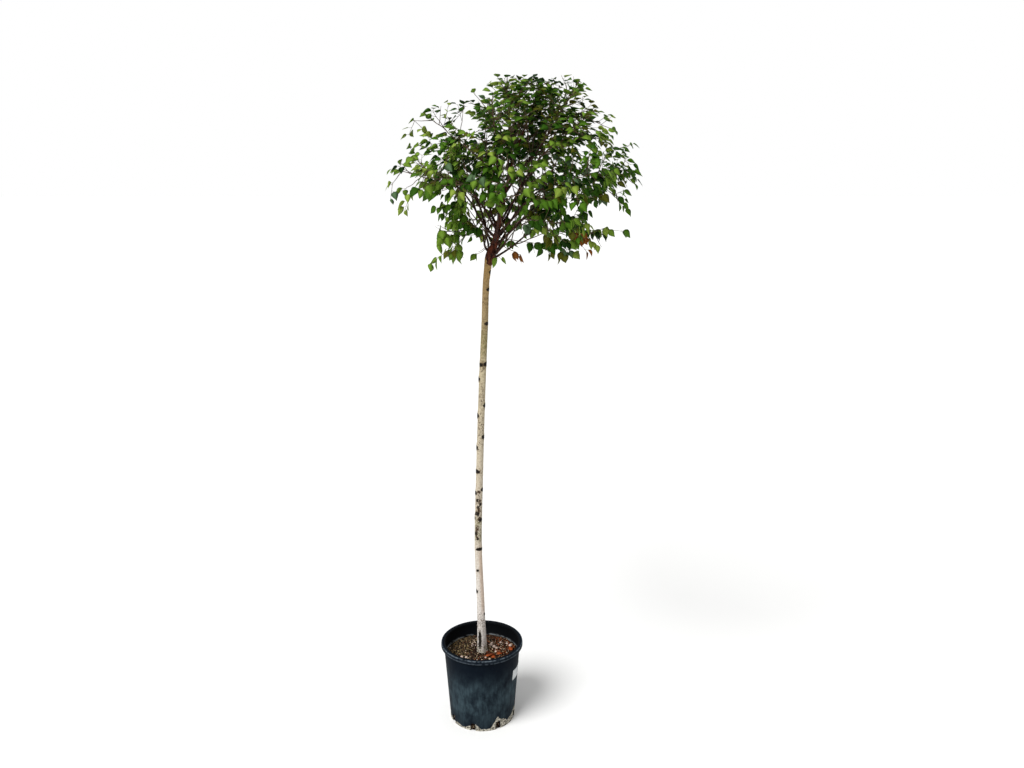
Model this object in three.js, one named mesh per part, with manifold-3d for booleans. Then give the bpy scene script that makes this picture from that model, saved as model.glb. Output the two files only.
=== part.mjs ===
// A top-grafted standard birch in a round nursery pot: a thin white stem, a head of boughs and a leafy dome.
// Millimetres, +Z up. The origin is the centre of the pot's flat underside, and the tree's front faces -Y.
import * as THREE from "three";
import { mergeVertices } from "three/addons/utils/BufferGeometryUtils.js";
import Module from "manifold-3d";

const wasm = await Module();
wasm.setup();

// Driving dimensions of the pot
const POT_HEIGHT = 265;
const RIM_RADIUS = 132.5;
const BASE_RADIUS = 105;
const WALL_TOP_RADIUS = 121.5;
const WALL = 2.4;
const LIP_DEPTH = 20;
const LIP_DRAFT = 1;
const EDGE_ROUND = 2.5;
const SLOT_COUNT = 8;
const SLOT_WIDTH = 14;
const SLOT_HEIGHT = 20;
const SLOT_DEPTH = 24;
const SLOT_FIRST_DEG = -60;
const ROUND_SEGMENTS = 32;

// Driving dimensions of the potting soil
const SOIL_TOP = 225;
const SOIL_SEAT_RADIUS = 34;
const SOIL_FALL = 7;
const SOIL_MIDWAY_FALL = SOIL_FALL / 3;
const SOIL_WALL_GAP = 0.6;

// Driving dimensions of the stem. Its foot stands square on the soil, and it leans and bends on its way up.
const CLEAR = 0.3;
const UPRIGHT_FOOT = 15;
const STEM_STATIONS = [
  [0, 0, SOIL_TOP + CLEAR],
  [0, 0, SOIL_TOP + UPRIGHT_FOOT],
  [-3, 1, 400],
  [-9, 3, 600],
  [-3, 4, 830],
  [6, 3, 1080],
  [16, 1, 1290],
  [27, 0, 1480],
  [51, -1, 1560],
  [68, 0, 1645],
];
const SHAFT_RADIUS_LOW = 11.9;
const SHAFT_RADIUS_HIGH = 9.2;
const FLARE = 5;
const FLARE_REACH = 65;
const GRAFT_HEIGHT = 1512;
const GRAFT_SWELL = 5.5;
const GRAFT_REACH = 26;
const FORK_RADIUS = 6.8;
const STEM_SIDES = 10;
const STEM_STEPS = 48;

// Driving dimensions of the crown. Each tier is a ring of masses round the crown's own axis, which leans with
// height. Its boughs leave at one rise above the level, in degrees, and arrive at another. Its twigs lift or
// droop a little.
const CROWN = [
  { tier: "skirt", places: 6, left_open: [4], first_deg: 5, axis_x: 98, ring: 178, height: 1622, dip: 42,
    wide: 112, tall: 92, root: 1498, root_step: 5, base_radius: 4.8,
    leave_deg: 14, arrive_deg: -6, lift: -0.12 },
  { tier: "middle", places: 8, left_open: [], first_deg: 0, axis_x: 92, ring: 252, height: 1738, dip: 12,
    wide: 116, tall: 104, root: 1534, root_step: 7, base_radius: 5.4,
    leave_deg: 38, arrive_deg: 12, lift: 0 },
  { tier: "upper", places: 5, left_open: [], first_deg: 36, axis_x: 112, ring: 194, height: 1862, dip: 8,
    wide: 130, tall: 102, root: 1583, root_step: 9, base_radius: 5.2,
    leave_deg: 52, arrive_deg: 36, lift: 0.05 },
  { tier: "crest", places: 4, left_open: [], first_deg: 45, axis_x: 165, ring: 112, height: 1928, dip: 0,
    wide: 112, tall: 94, root: 1690, root_step: 22, base_radius: 4.4,
    leave_deg: 46, arrive_deg: 58, lift: 0.1 },
  { tier: "top", places: 1, left_open: [], first_deg: 0, axis_x: 168, ring: 0, height: 1958, dip: 0,
    wide: 86, tall: 74, root: 0, root_step: 0, base_radius: 6.3,
    leave_deg: 0, arrive_deg: 70, lift: 0.1 },
];
const PLACE_SPREAD = 10;
const SIZE_SPREAD = 0.06;
const SPACE_GAP = 1.5;
const SPACE_STEP = 3;
const CROWN_SEED = 2311;

// Driving dimensions of the boughs, from a root on the stem or the leader to the entry of a mass
const ROOT_STRIDE = 3;
const ENTRY_SHARE = 0.72;
const LEAVE_SHARE = 0.38;
const ARRIVE_SHARE = 0.3;
const BOUGH_TIP_RADIUS = 3.5;
const BOUGH_SIDES = 5;
const BOUGH_STEPS = 5;

// Driving dimensions of the stem and the twigs inside a mass
const INNER_STEM_RADIUS = 3.4;
const INNER_STEM_TIP_RADIUS = 2.2;
const INNER_STEM_REACH = 0.93;
const INNER_STEM_LEAFLESS = 0.35;
const INNER_STEM_SIDES = 4;
const TWIGS_A_MASS = 7;
const TWIGS_FROM = 0.1;
const TWIGS_TO = 0.92;
const TWIG_RADIUS_SHARE = 0.65;
const TWIG_TIP_SHARE = 0.55;
const TWIG_REACH = [0.84, 0.98];
const TWIG_SHORTEST = 34;
const TWIG_LEAFLESS = 0.22;
const TWIG_FORK_DEG = [46, 70];
const TWIG_SIDES = 3;
const GOLDEN_DEG = 137.5;

// Driving dimensions of the leaves. They are larger than life, so that few of them close the crown.
const LEAF_LENGTH = 78;
const LEAF_WIDTH_SHARE = 0.8;
const LEAF_WIDEST = 0.46;
const LEAF_FOLD_SHARE = 0.04;
const LEAF_SPACING = 22;
const LEAVES_AT_LEAST = 2;
const LEAF_FIRST_STEP = 0.4;
const LEAF_LAST = 0.97;
const LEAF_SPRAY = [0.5, 1.5];
const LEAF_ONWARD = 0.4;
const LEAF_SIDEWAYS = 0.6;
const LEAF_HANG = 0.7;
const LEAF_SCATTER = 0.7;
const LEAF_LOOK_UP = 0.4;
const LEAF_SINK_SHARE = 0.15;
const LEAF_SIZES = [1, 0.86, 0.72];
const LEAF_ROLLS_DEG = [0, 38, -38, 75];
const LEAF_FREE_FROM = 0.2;
const LIMB_GUARD = 1;
const FLATNESS = 0.001;

const UP = new THREE.Vector3(0, 0, 1);
const CROWN_MIDDLE = new THREE.Vector3(105, 0, 1720);
const HALVINGS = 30;
const { clamp, degToRad: deg, lerp, smoothstep } = THREE.MathUtils;

// Repeatable random numbers from 0 to 1, so that the tree grows the same way each time.
function dice(seed) {
  let state = seed;
  return () => {
    state = (state * 1664525 + 1013904223) % 4294967296;
    return state / 4294967296;
  };
}

// A closed geometry as a solid that can be joined and cut, with flat faces in as few triangles as they need.
function solidOf(geometry) {
  const bare = geometry.clone();
  bare.deleteAttribute("normal");
  bare.deleteAttribute("uv");
  const merged = mergeVertices(bare);
  const mesh = new wasm.Mesh({
    numProp: 3,
    vertProperties: merged.attributes.position.array,
    triVerts: new Uint32Array(merged.index.array),
  });
  return new wasm.Manifold(mesh).simplify(FLATNESS);
}

// A solid's largest body as a geometry, so that a loose scrap is dropped.
function geometryOf(solid) {
  const bodies = solid.decompose().sort((a, b) => b.volume() - a.volume());
  const mesh = bodies[0].getMesh();
  const geometry = new THREE.BufferGeometry();
  geometry.setAttribute("position", new THREE.BufferAttribute(mesh.vertProperties, 3));
  geometry.setIndex(new THREE.BufferAttribute(mesh.triVerts, 1));
  geometry.computeVertexNormals();
  return geometry;
}

// True if two solids share no space.
function apart(a, b) {
  return a.intersect(b).isEmpty();
}

// Moves the rings of an upright cylinder onto a curve, and scales each ring by the radius there.
function bend(cylinder, curve, steps, radiusAt) {
  const frames = curve.computeFrenetFrames(steps);
  const position = cylinder.attributes.position;
  for (let i = 0; i < position.count; i++) {
    const along = clamp(position.getY(i) + 0.5, 0, 1);
    const ring = Math.round(along * steps);
    const point = curve
      .getPointAt(along)
      .addScaledVector(frames.binormals[ring], position.getX(i) * radiusAt(along))
      .addScaledVector(frames.normals[ring], position.getZ(i) * radiusAt(along));
    position.setXYZ(i, point.x, point.y, point.z);
  }
  return cylinder;
}

// A round limb with closed ends along a curve. Growing it moves its flats out by the margin.
function limb(curve, sides, steps, radiusAt, grow = 0) {
  const cornerGrow = grow / Math.cos(Math.PI / sides);
  const prism = new THREE.CylinderGeometry(1, 1, 1, sides, steps);
  return bend(prism, curve, steps, (along) => radiusAt(along) + cornerGrow);
}

// A direction with a heading round the Z axis and a rise above the level.
function heading(turn, rise) {
  return new THREE.Vector3(
    Math.cos(turn) * Math.cos(rise),
    Math.sin(turn) * Math.cos(rise),
    Math.sin(rise),
  );
}

// A closed profile of radii and heights, turned round the Z axis.
function turned(profile) {
  const points = profile.map(([r, z]) => new THREE.Vector2(r, z));
  return new THREE.LatheGeometry(points, ROUND_SEGMENTS).rotateX(Math.PI / 2);
}

// The pot: a tapered wall and floor, a lip that turns out and down, and drainage slots in the bottom corner.
function potSolid() {
  const lipInner = RIM_RADIUS - WALL;
  const body = turned([
    [0, 0],
    [BASE_RADIUS - EDGE_ROUND, 0],
    [BASE_RADIUS, EDGE_ROUND],
    [WALL_TOP_RADIUS, POT_HEIGHT - 2 * WALL],
    [lipInner - LIP_DRAFT, POT_HEIGHT - WALL],
    [lipInner, POT_HEIGHT - LIP_DEPTH],
    [RIM_RADIUS, POT_HEIGHT - LIP_DEPTH],
    [RIM_RADIUS - LIP_DRAFT / 2, POT_HEIGHT - EDGE_ROUND],
    [RIM_RADIUS - EDGE_ROUND, POT_HEIGHT],
    [WALL_TOP_RADIUS - LIP_DRAFT, POT_HEIGHT],
    [WALL_TOP_RADIUS - WALL, POT_HEIGHT - EDGE_ROUND],
    [BASE_RADIUS - WALL, WALL],
    [0, WALL],
  ]);
  let pot = solidOf(body);
  for (let i = 0; i < SLOT_COUNT; i++) {
    const slot = new THREE.BoxGeometry(SLOT_DEPTH, SLOT_WIDTH, 2 * SLOT_HEIGHT)
      .translate(BASE_RADIUS, 0, 0)
      .rotateZ(deg(SLOT_FIRST_DEG + (i * 360) / SLOT_COUNT));
    pot = pot.subtract(solidOf(slot));
  }
  return pot;
}

// The inside radius of the pot's wall at a height.
function potInside(z) {
  const share = (z - WALL) / (POT_HEIGHT - EDGE_ROUND - WALL);
  return lerp(BASE_RADIUS - WALL, WALL_TOP_RADIUS - WALL, share);
}

// The soil: it fills the pot up to a level seat round the stem, and falls a little towards the wall.
function soilGeometry() {
  const bottom = WALL + CLEAR;
  const edge = SOIL_TOP - SOIL_FALL;
  return turned([
    [0, bottom],
    [potInside(bottom) - SOIL_WALL_GAP, bottom],
    [potInside(edge) - SOIL_WALL_GAP, edge],
    [(SOIL_SEAT_RADIUS + potInside(edge)) / 2, SOIL_TOP - SOIL_MIDWAY_FALL],
    [SOIL_SEAT_RADIUS, SOIL_TOP],
    [0, SOIL_TOP],
  ]);
}

const stemCurve = new THREE.CatmullRomCurve3(STEM_STATIONS.map((p) => new THREE.Vector3(...p)));
const STEM_FOOT = STEM_STATIONS[0][2];
const STEM_TIP = STEM_STATIONS.at(-1)[2];

// The stem's radius at a height: root flare, slow taper, the swelling of the graft, and the scion's taper.
function stemRadius(z) {
  const grown = Math.min((z - STEM_FOOT) / (GRAFT_HEIGHT - STEM_FOOT), 1);
  const shaft = lerp(SHAFT_RADIUS_LOW, SHAFT_RADIUS_HIGH, grown);
  const flare = FLARE * Math.exp(-(z - STEM_FOOT) / FLARE_REACH);
  const graft = GRAFT_SWELL * Math.exp(-(((z - GRAFT_HEIGHT) / GRAFT_REACH) ** 2));
  const thinning = smoothstep(z, GRAFT_HEIGHT, STEM_TIP) * (SHAFT_RADIUS_HIGH - FORK_RADIUS);
  return shaft + flare + graft - thinning;
}

// The stem as a solid, grown by a margin where it is used to cut its neighbours.
function stemSolid(grow) {
  const radiusAt = (along) => stemRadius(stemCurve.getPointAt(along).z);
  return solidOf(limb(stemCurve, STEM_SIDES, STEM_STEPS, radiusAt, grow));
}

// The point at a height on the centre line of a limb that rises all the way.
function pointAtHeight(curve, z) {
  let low = 0;
  let high = 1;
  for (let i = 0; i < HALVINGS; i++) {
    const middle = (low + high) / 2;
    if (curve.getPointAt(middle).z < z) low = middle;
    else high = middle;
  }
  return curve.getPointAt(low);
}

// Lays out the masses of foliage: a name, a centre, a space, and the height where its bough leaves.
function layOutMasses() {
  const roll = dice(CROWN_SEED);
  const jitter = (spread) => (2 * roll() - 1) * spread;
  return CROWN.flatMap((ring) => {
    const places = [...Array(ring.places).keys()].filter((place) => !ring.left_open.includes(place));
    return places.map((place, i) => {
      const turn = deg(ring.first_deg + (place * 360) / ring.places);
      const out = ring.ring + jitter(PLACE_SPREAD);
      const size = 1 + jitter(SIZE_SPREAD);
      return {
        name: ring.tier + "_" + (i + 1),
        ring,
        centre: new THREE.Vector3(
          ring.axis_x + out * Math.cos(turn) * Math.sign(ring.ring),
          out * Math.sin(turn) * Math.sign(ring.ring),
          ring.height - ring.dip * Math.cos(turn) ** 2 + jitter(PLACE_SPREAD),
        ),
        wide: ring.wide * size,
        tall: ring.tall * size,
        root: ring.root + ((i * ROOT_STRIDE) % places.length) * ring.root_step,
        seed: CROWN_SEED + ring.height + i * GOLDEN_DEG,
      };
    });
  });
}

const masses = layOutMasses();

// True if a point lies in a mass's own space: its ellipsoid, less what is nearer to another mass.
function holds(mass, point) {
  const away = point.clone().sub(mass.centre);
  if (Math.hypot(away.x / mass.wide, away.y / mass.wide, away.z / mass.tall) > 1) return false;
  return masses.every((other) => {
    if (other === mass) return true;
    const across = other.centre.clone().sub(mass.centre);
    const border = (across.length() * mass.wide) / (mass.wide + other.wide);
    return away.dot(across.normalize()) < border - SPACE_GAP;
  });
}

// How far a straight line runs inside a mass's space.
function reachOf(mass, from, direction) {
  let reach = 0;
  while (holds(mass, from.clone().addScaledVector(direction, reach + SPACE_STEP))) reach += SPACE_STEP;
  return reach;
}

// Where the straight stem inside a mass begins, and which way it runs. The bough's tip meets it in line.
function entryOf(mass, root) {
  const across = mass.centre.clone().sub(root);
  const outward = heading(Math.atan2(across.y, across.x), deg(mass.ring.arrive_deg));
  return { outward, entry: mass.centre.clone().addScaledVector(outward, -ENTRY_SHARE * mass.wide) };
}

// A bough's centre line from its root: it leaves one way, bends, and arrives in line with its mass's stem.
function layBough(mass, root, leave) {
  const { outward, entry } = entryOf(mass, root);
  const span = entry.distanceTo(root);
  return new THREE.CubicBezierCurve3(
    root,
    root.clone().addScaledVector(leave, span * LEAVE_SHARE),
    entry.clone().addScaledVector(outward, -span * ARRIVE_SHARE),
    entry,
  );
}

// The leader's centre line: on from the stem's tip, a small gap between the end faces, to the crown's top.
function layLeader(mass) {
  const way = stemCurve.getTangentAt(1);
  return layBough(mass, stemCurve.getPointAt(1).addScaledVector(way, CLEAR), way);
}

const leaderMass = masses.find((mass) => mass.ring.tier === "top");
leaderMass.bough = layLeader(leaderMass);
for (const mass of masses.filter((other) => other !== leaderMass)) {
  const root = pointAtHeight(mass.ring.tier === "crest" ? leaderMass.bough : stemCurve, mass.root);
  const across = mass.centre.clone().sub(root);
  mass.bough = layBough(mass, root, heading(Math.atan2(across.y, across.x), deg(mass.ring.leave_deg)));
}

// A bough's radius along it.
function boughRadius(mass, along) {
  return lerp(mass.ring.base_radius, BOUGH_TIP_RADIUS, along);
}

// A bough as a solid, grown by a margin where it keeps leaves away.
function boughSolid(mass, grow) {
  return solidOf(limb(mass.bough, BOUGH_SIDES, BOUGH_STEPS, (along) => boughRadius(mass, along), grow));
}

// A straight shoot inside a mass, from the radius at its root to the radius at its tip.
function layShoot(start, direction, length, radius, tipRadius, leafless) {
  return {
    start,
    direction,
    length,
    leafless,
    pointAt: (along) => start.clone().addScaledVector(direction, length * along),
    radiusAt: (along) => lerp(radius, tipRadius, along),
  };
}

// The stem of a mass: it goes on from the bough's tip, through the middle, to the mass's outer side.
function layInnerStem(mass) {
  const direction = mass.bough.getTangentAt(1);
  const start = mass.bough.getPointAt(1).addScaledVector(direction, CLEAR);
  const length = mass.centre.distanceTo(start) + INNER_STEM_REACH * reachOf(mass, mass.centre, direction);
  return layShoot(start, direction, length, INNER_STEM_RADIUS, INNER_STEM_TIP_RADIUS, INNER_STEM_LEAFLESS);
}

// A twig: it leaves the inner stem at a share of its length, turned round it, and runs to the border.
function layTwig(mass, stem, along, turn, roll) {
  const start = stem.pointAt(along);
  const across = new THREE.Vector3().crossVectors(stem.direction, UP).normalize();
  const spread = across.applyAxisAngle(stem.direction, turn);
  const fork = deg(lerp(...TWIG_FORK_DEG, roll()));
  const direction = stem.direction
    .clone()
    .multiplyScalar(Math.cos(fork))
    .addScaledVector(spread, Math.sin(fork))
    .addScaledVector(UP, mass.ring.lift)
    .normalize();
  const length = reachOf(mass, start, direction) * lerp(...TWIG_REACH, roll());
  const radius = TWIG_RADIUS_SHARE * stem.radiusAt(along);
  return layShoot(start, direction, length, radius, radius * TWIG_TIP_SHARE, TWIG_LEAFLESS);
}

// A shoot as a tapered prism. A three-sided one has a flat up, and leaves grow out of its two lower flats.
function shootSolid(shoot, sides) {
  const across = new THREE.Vector3().crossVectors(shoot.direction, UP).normalize();
  const over = new THREE.Vector3().crossVectors(across, shoot.direction);
  const prism = new THREE.CylinderGeometry(shoot.radiusAt(1), shoot.radiusAt(0), shoot.length, sides, 1)
    .translate(0, shoot.length / 2, 0)
    .rotateY(Math.PI);
  const place = new THREE.Matrix4().makeBasis(across, shoot.direction, over).setPosition(shoot.start);
  return solidOf(prism.applyMatrix4(place));
}

// A leaf blade of four faces: a kite folded along its midrib, its root at the origin and its tip along +Y.
function leafGeometry(length) {
  const half = (length * LEAF_WIDTH_SHARE) / 2;
  const widest = length * LEAF_WIDEST;
  const fold = length * LEAF_FOLD_SHARE;
  const corners = [0, 0, 0, -half, widest, fold, half, widest, fold, 0, length, 0];
  const blade = new THREE.BufferGeometry();
  blade.setAttribute("position", new THREE.Float32BufferAttribute(corners, 3));
  blade.setIndex([0, 2, 1, 1, 2, 3, 0, 1, 3, 0, 3, 2]);
  return blade;
}

// Where one leaf sits: its root in the shoot, its tip hanging out, its face away from the crown's middle.
function leafPlace(shoot, along, side, roll) {
  const across = new THREE.Vector3().crossVectors(shoot.direction, UP).normalize();
  const varied = (share) => share * lerp(...LEAF_SPRAY, roll());
  const direction = shoot.direction
    .clone()
    .multiplyScalar(varied(LEAF_ONWARD))
    .addScaledVector(across, side * varied(LEAF_SIDEWAYS))
    .addScaledVector(UP, -varied(LEAF_HANG))
    .normalize();
  const point = shoot.pointAt(along);
  const face = point.clone().sub(CROWN_MIDDLE).normalize();
  face.addScaledVector(heading(2 * Math.PI * roll(), 0), LEAF_SCATTER).addScaledVector(UP, LEAF_LOOK_UP);
  face.addScaledVector(direction, -face.dot(direction)).normalize();
  const root = point.addScaledVector(direction, -LEAF_SINK_SHARE * shoot.radiusAt(along));
  return { root, direction, face };
}

// A leaf's own axes, with its blade turned round its midrib.
function leafAxes(place, turn) {
  const face = place.face.clone().applyAxisAngle(place.direction, turn);
  return { face, side: new THREE.Vector3().crossVectors(place.direction, face) };
}

// A leaf in its place. A probe of the free blade starts at a share of its length, past the joint to the twig.
function leafSolid(place, length, turn, rootShare) {
  const { face, side } = leafAxes(place, turn);
  const root = place.root.clone().addScaledVector(place.direction, length * rootShare);
  const matrix = new THREE.Matrix4().makeBasis(side, place.direction, face).setPosition(root);
  return solidOf(leafGeometry(length * (1 - rootShare)).applyMatrix4(matrix));
}

// True if a leaf's outline stays inside its mass's space.
function leafFits(mass, place, length, turn) {
  const { side } = leafAxes(place, turn);
  const middle = place.root.clone().addScaledVector(place.direction, length * LEAF_WIDEST);
  const half = (length * LEAF_WIDTH_SHARE) / 2;
  const corners = [
    place.root.clone().addScaledVector(place.direction, length),
    middle.clone().addScaledVector(side, half),
    middle.clone().addScaledVector(side, -half),
  ];
  return corners.every((corner) => holds(mass, corner));
}

// The first size and turn at which a leaf keeps to its space, clear of limbs, twigs and earlier leaves.
function fitLeaf(mass, place, obstacles) {
  for (const size of LEAF_SIZES) {
    for (const rollDeg of LEAF_ROLLS_DEG) {
      const length = LEAF_LENGTH * size;
      const turn = deg(rollDeg);
      if (!leafFits(mass, place, length, turn)) continue;
      const probe = leafSolid(place, length, turn, LEAF_FREE_FROM);
      if (obstacles.every((other) => apart(probe, other))) return leafSolid(place, length, turn, 0);
    }
  }
  return null;
}

// One mass of foliage: a stem, twigs turned round it by the golden angle, and leaves on alternate sides.
function growMass(mass, limbs) {
  const roll = dice(mass.seed);
  const stem = layInnerStem(mass);
  const shoots = [];
  const wood = [shootSolid(stem, INNER_STEM_SIDES)];
  for (let i = 0; i < TWIGS_A_MASS; i++) {
    const along = lerp(TWIGS_FROM, TWIGS_TO, (i + roll() / 2) / TWIGS_A_MASS);
    const twig = layTwig(mass, stem, along, deg(i * GOLDEN_DEG), roll);
    if (twig.length < TWIG_SHORTEST) continue;
    const solid = shootSolid(twig, TWIG_SIDES);
    if (!apart(solid, limbs)) continue;
    shoots.unshift(twig);
    wood.push(solid);
  }
  const joined = wasm.Manifold.union(wood);
  const leaves = [];
  for (const shoot of [...shoots, stem]) {
    const count = Math.max(LEAVES_AT_LEAST, Math.round(shoot.length / LEAF_SPACING));
    for (let i = 0; i < count; i++) {
      const along = lerp(shoot.leafless, LEAF_LAST, (i + LEAF_FIRST_STEP) / count);
      const place = leafPlace(shoot, along, i % 2 ? 1 : -1, roll);
      const leaf = fitLeaf(mass, place, [limbs, joined, ...leaves]);
      if (leaf) leaves.push(leaf);
    }
  }
  return wasm.Manifold.union([joined, ...leaves]);
}

// A plain dull material in one colour.
function dull(color, roughness) {
  return new THREE.MeshStandardMaterial({ color, roughness, metalness: 0 });
}

const plastic = dull(0x1d2932, 0.55);
const earth = dull(0x4a3526, 1);
const paleBark = dull(0xc9bda2, 0.85);
const redBark = dull(0x4b2a20, 0.6);
const foliage = dull(0x3d6b1e, 0.6);

const birch = new THREE.Group();

// Adds one named sub-part to the tree.
function add(name, geometry, material) {
  const mesh = new THREE.Mesh(geometry, material);
  mesh.name = name;
  birch.add(mesh);
}

add("pot", geometryOf(potSolid()), plastic);
add("soil", soilGeometry(), earth);
add("stem", geometryOf(stemSolid(0)), paleBark);

const stemCutter = stemSolid(CLEAR);
const leaderCutter = boughSolid(leaderMass, CLEAR);
for (const mass of masses) {
  const whole = boughSolid(mass, 0);
  const bough = mass === leaderMass ? whole : whole.subtract(stemCutter).subtract(leaderCutter);
  add("bough_" + mass.name, geometryOf(bough), redBark);
}
const limbGuard = wasm.Manifold.union([
  stemSolid(LIMB_GUARD),
  ...masses.map((mass) => boughSolid(mass, LIMB_GUARD)),
]);
for (const mass of masses) {
  add("foliage_" + mass.name, geometryOf(growMass(mass, limbGuard)), foliage);
}

export default birch;
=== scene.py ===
"""A top-grafted standard birch in a round nursery pot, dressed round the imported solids.

The sizes held here are millimetres and the meshes are metres. +Z is up, the origin is the centre of the pot's
flat underside, and the front of the tree faces -Y. The crown grows by the same seeded rule as the solids, and
goes on to finer shoots.
"""
import logging
import math
from bisect import bisect_left
from collections.abc import Callable, Iterable, Sequence
from dataclasses import dataclass, field
from enum import Enum, IntEnum
from itertools import accumulate

import bmesh
import bpy
import numpy as np
from mathutils import Matrix, Vector, noise


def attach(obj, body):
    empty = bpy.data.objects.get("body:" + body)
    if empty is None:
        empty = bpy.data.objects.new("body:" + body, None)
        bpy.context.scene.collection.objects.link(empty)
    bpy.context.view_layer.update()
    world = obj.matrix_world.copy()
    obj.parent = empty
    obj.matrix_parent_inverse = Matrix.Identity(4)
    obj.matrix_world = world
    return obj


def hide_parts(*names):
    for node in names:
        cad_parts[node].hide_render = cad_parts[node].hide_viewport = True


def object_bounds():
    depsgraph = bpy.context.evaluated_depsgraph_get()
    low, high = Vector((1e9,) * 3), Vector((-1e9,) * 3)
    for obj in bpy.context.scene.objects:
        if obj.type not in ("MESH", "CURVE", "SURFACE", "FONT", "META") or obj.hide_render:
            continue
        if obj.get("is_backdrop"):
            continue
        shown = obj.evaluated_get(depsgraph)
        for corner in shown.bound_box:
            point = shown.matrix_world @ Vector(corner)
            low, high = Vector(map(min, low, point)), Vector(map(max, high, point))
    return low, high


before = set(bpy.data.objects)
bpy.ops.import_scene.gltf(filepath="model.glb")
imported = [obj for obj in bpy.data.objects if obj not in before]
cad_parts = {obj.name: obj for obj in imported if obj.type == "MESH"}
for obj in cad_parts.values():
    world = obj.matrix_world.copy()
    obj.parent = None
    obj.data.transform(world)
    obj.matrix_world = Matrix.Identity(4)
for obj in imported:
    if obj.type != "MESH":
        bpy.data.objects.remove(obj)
CAD_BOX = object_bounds()

log = logging.getLogger("birch")

MM = 0.001
UP = Vector((0.0, 0.0, 1.0))
FULL_TURN = 2 * math.pi
GOLDEN_DEG = 137.5
SHARP_DEG = 40.0
MERGED = 1e-4
NOISE_SEED = 3
DICE_FACTOR, DICE_STEP, DICE_RANGE = 1664525, 1013904223, 4294967296
# The inputs and the output of a mix node that serve colours.
MIX_COLOURS = (0, 6, 7)
MIX_RESULT = 2

Roll = Callable[[], float]
Inputs = dict[str | int, object] | Sequence[object]
Colour = tuple[float, float, float, float]
Pair = tuple[float, float]
Triple = tuple[float, float, float]
Rows = tuple[tuple[float, ...], ...]
Stops = tuple[tuple[float, str], ...]
Socket = bpy.types.NodeSocket
NodeTree = bpy.types.NodeTree
Material = bpy.types.Material
Piece = bpy.types.Object
BMesh = bmesh.types.BMesh


# Colours, nodes and finishes


def linear(colour: str) -> Colour:
    """Turn an sRGB hex colour into a linear one.

    Args:
        colour: Six hex digits after a hash sign.

    Returns:
        Red, green, blue and a full alpha.
    """
    shares = [value / 255 for value in bytes.fromhex(colour.lstrip("#"))]
    red, green, blue = (s / 12.92 if s <= 0.04045 else ((s + 0.055) / 1.055) ** 2.4 for s in shares)
    return red, green, blue, 1.0


def per_metre(size: float) -> float:
    """Give a pattern's scale per metre from the size of its features in mm."""
    return 1.0 / (size * MM)


def join(node: bpy.types.Node, inputs: Inputs) -> None:
    """Give a node's inputs their values and links.

    Args:
        node: The node.
        inputs: What each input takes, in order or by name: a node's output, a value or a hex colour.
    """
    for key, value in inputs.items() if isinstance(inputs, dict) else enumerate(inputs):
        if isinstance(value, bpy.types.NodeSocket):
            node.id_data.links.new(value, node.inputs[key])
        else:
            node.inputs[key].default_value = linear(value) if isinstance(value, str) else value


def add_node(
    tree: NodeTree,
    kind: str,
    inputs: Inputs = (),
    out: int | str = 0,
    stops: Stops = (),
    **settings: object,
) -> Socket:
    """Add one shader node with its settings and links.

    Args:
        tree: The node tree of a material or a world.
        kind: The node's type name, without its ShaderNode prefix.
        inputs: What each input takes, in order or by name.
        out: The output that is wanted.
        stops: Places and hex colours along a colour ramp.
        **settings: The node's own properties.

    Returns:
        The output that is wanted.
    """
    node = tree.nodes.new("ShaderNode" + kind)
    for name, value in settings.items():
        setattr(node, name, value)
    join(node, inputs)
    for i, (place, colour) in enumerate(stops):
        elements = node.color_ramp.elements
        element = elements[i] if i < len(elements) else elements.new(place)
        element.position = place
        element.color = linear(colour)
    return node.outputs[out]


@dataclass
class Brush:
    """Lays the nodes that one material's pattern is made of, from each point's place on the object."""

    tree: NodeTree

    def __post_init__(self) -> None:
        """Add the node that tells each point's place."""
        self.place = add_node(self.tree, "TexCoord", out="Object")

    def along(self, axis: str) -> Socket:
        """Give each point's place along one axis, in metres."""
        return add_node(self.tree, "SeparateXYZ", (self.place,), axis)

    def cloud(self, size: float, detail: float, upright: float = 1.0, **inputs: float) -> Socket:
        """Lay soft noise.

        Args:
            size: The size of its features in mm.
            detail: How many finer layers it has.
            upright: How much it is squeezed along Z: less than 1 draws it out into upright streaks.
            **inputs: The noise's other inputs.

        Returns:
            The noise, mostly from 0.3 to 0.7.
        """
        place = self.place
        if upright != 1.0:
            place = add_node(self.tree, "Mapping", {"Vector": place, "Scale": (1.0, 1.0, upright)})
        noisy = {"Vector": place, "Scale": per_metre(size), "Detail": detail, **inputs}
        return add_node(self.tree, "TexNoise", noisy)

    def ease(self, value: Socket, *ends: float) -> Socket:
        """Ease from 0 to 1, or from a third end to a fourth, while a value goes from one end to the next."""
        return add_node(self.tree, "MapRange", (value, *ends), interpolation_type="SMOOTHSTEP")

    def reckon(self, operation: str, *values: Socket | float) -> Socket:
        """Reckon with values, by the name of a sum."""
        return add_node(self.tree, "Math", values, operation=operation)

    def blend(self, share: Socket, under: Socket | str, over: Socket | str) -> Socket:
        """Lay one colour over another by a share."""
        inputs = dict(zip(MIX_COLOURS, (share, under, over)))
        return add_node(self.tree, "Mix", inputs, MIX_RESULT, data_type="RGBA")

    def ramp(self, share: Socket, stops: Stops) -> Socket:
        """Turn a share into a colour by the stops along a ramp."""
        return add_node(self.tree, "ValToRGB", (share,), stops=stops)

    def marked(self, name: str) -> Socket:
        """Read one of the mesh's own shares."""
        return add_node(self.tree, "Attribute", out="Fac", attribute_name=name)

    def relief(self, height: Socket, depth: float, strength: float = 1.0) -> Socket:
        """Turn a pattern into relief with a depth in mm."""
        return add_node(self.tree, "Bump", {"Height": height, "Distance": depth * MM, "Strength": strength})


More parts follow.
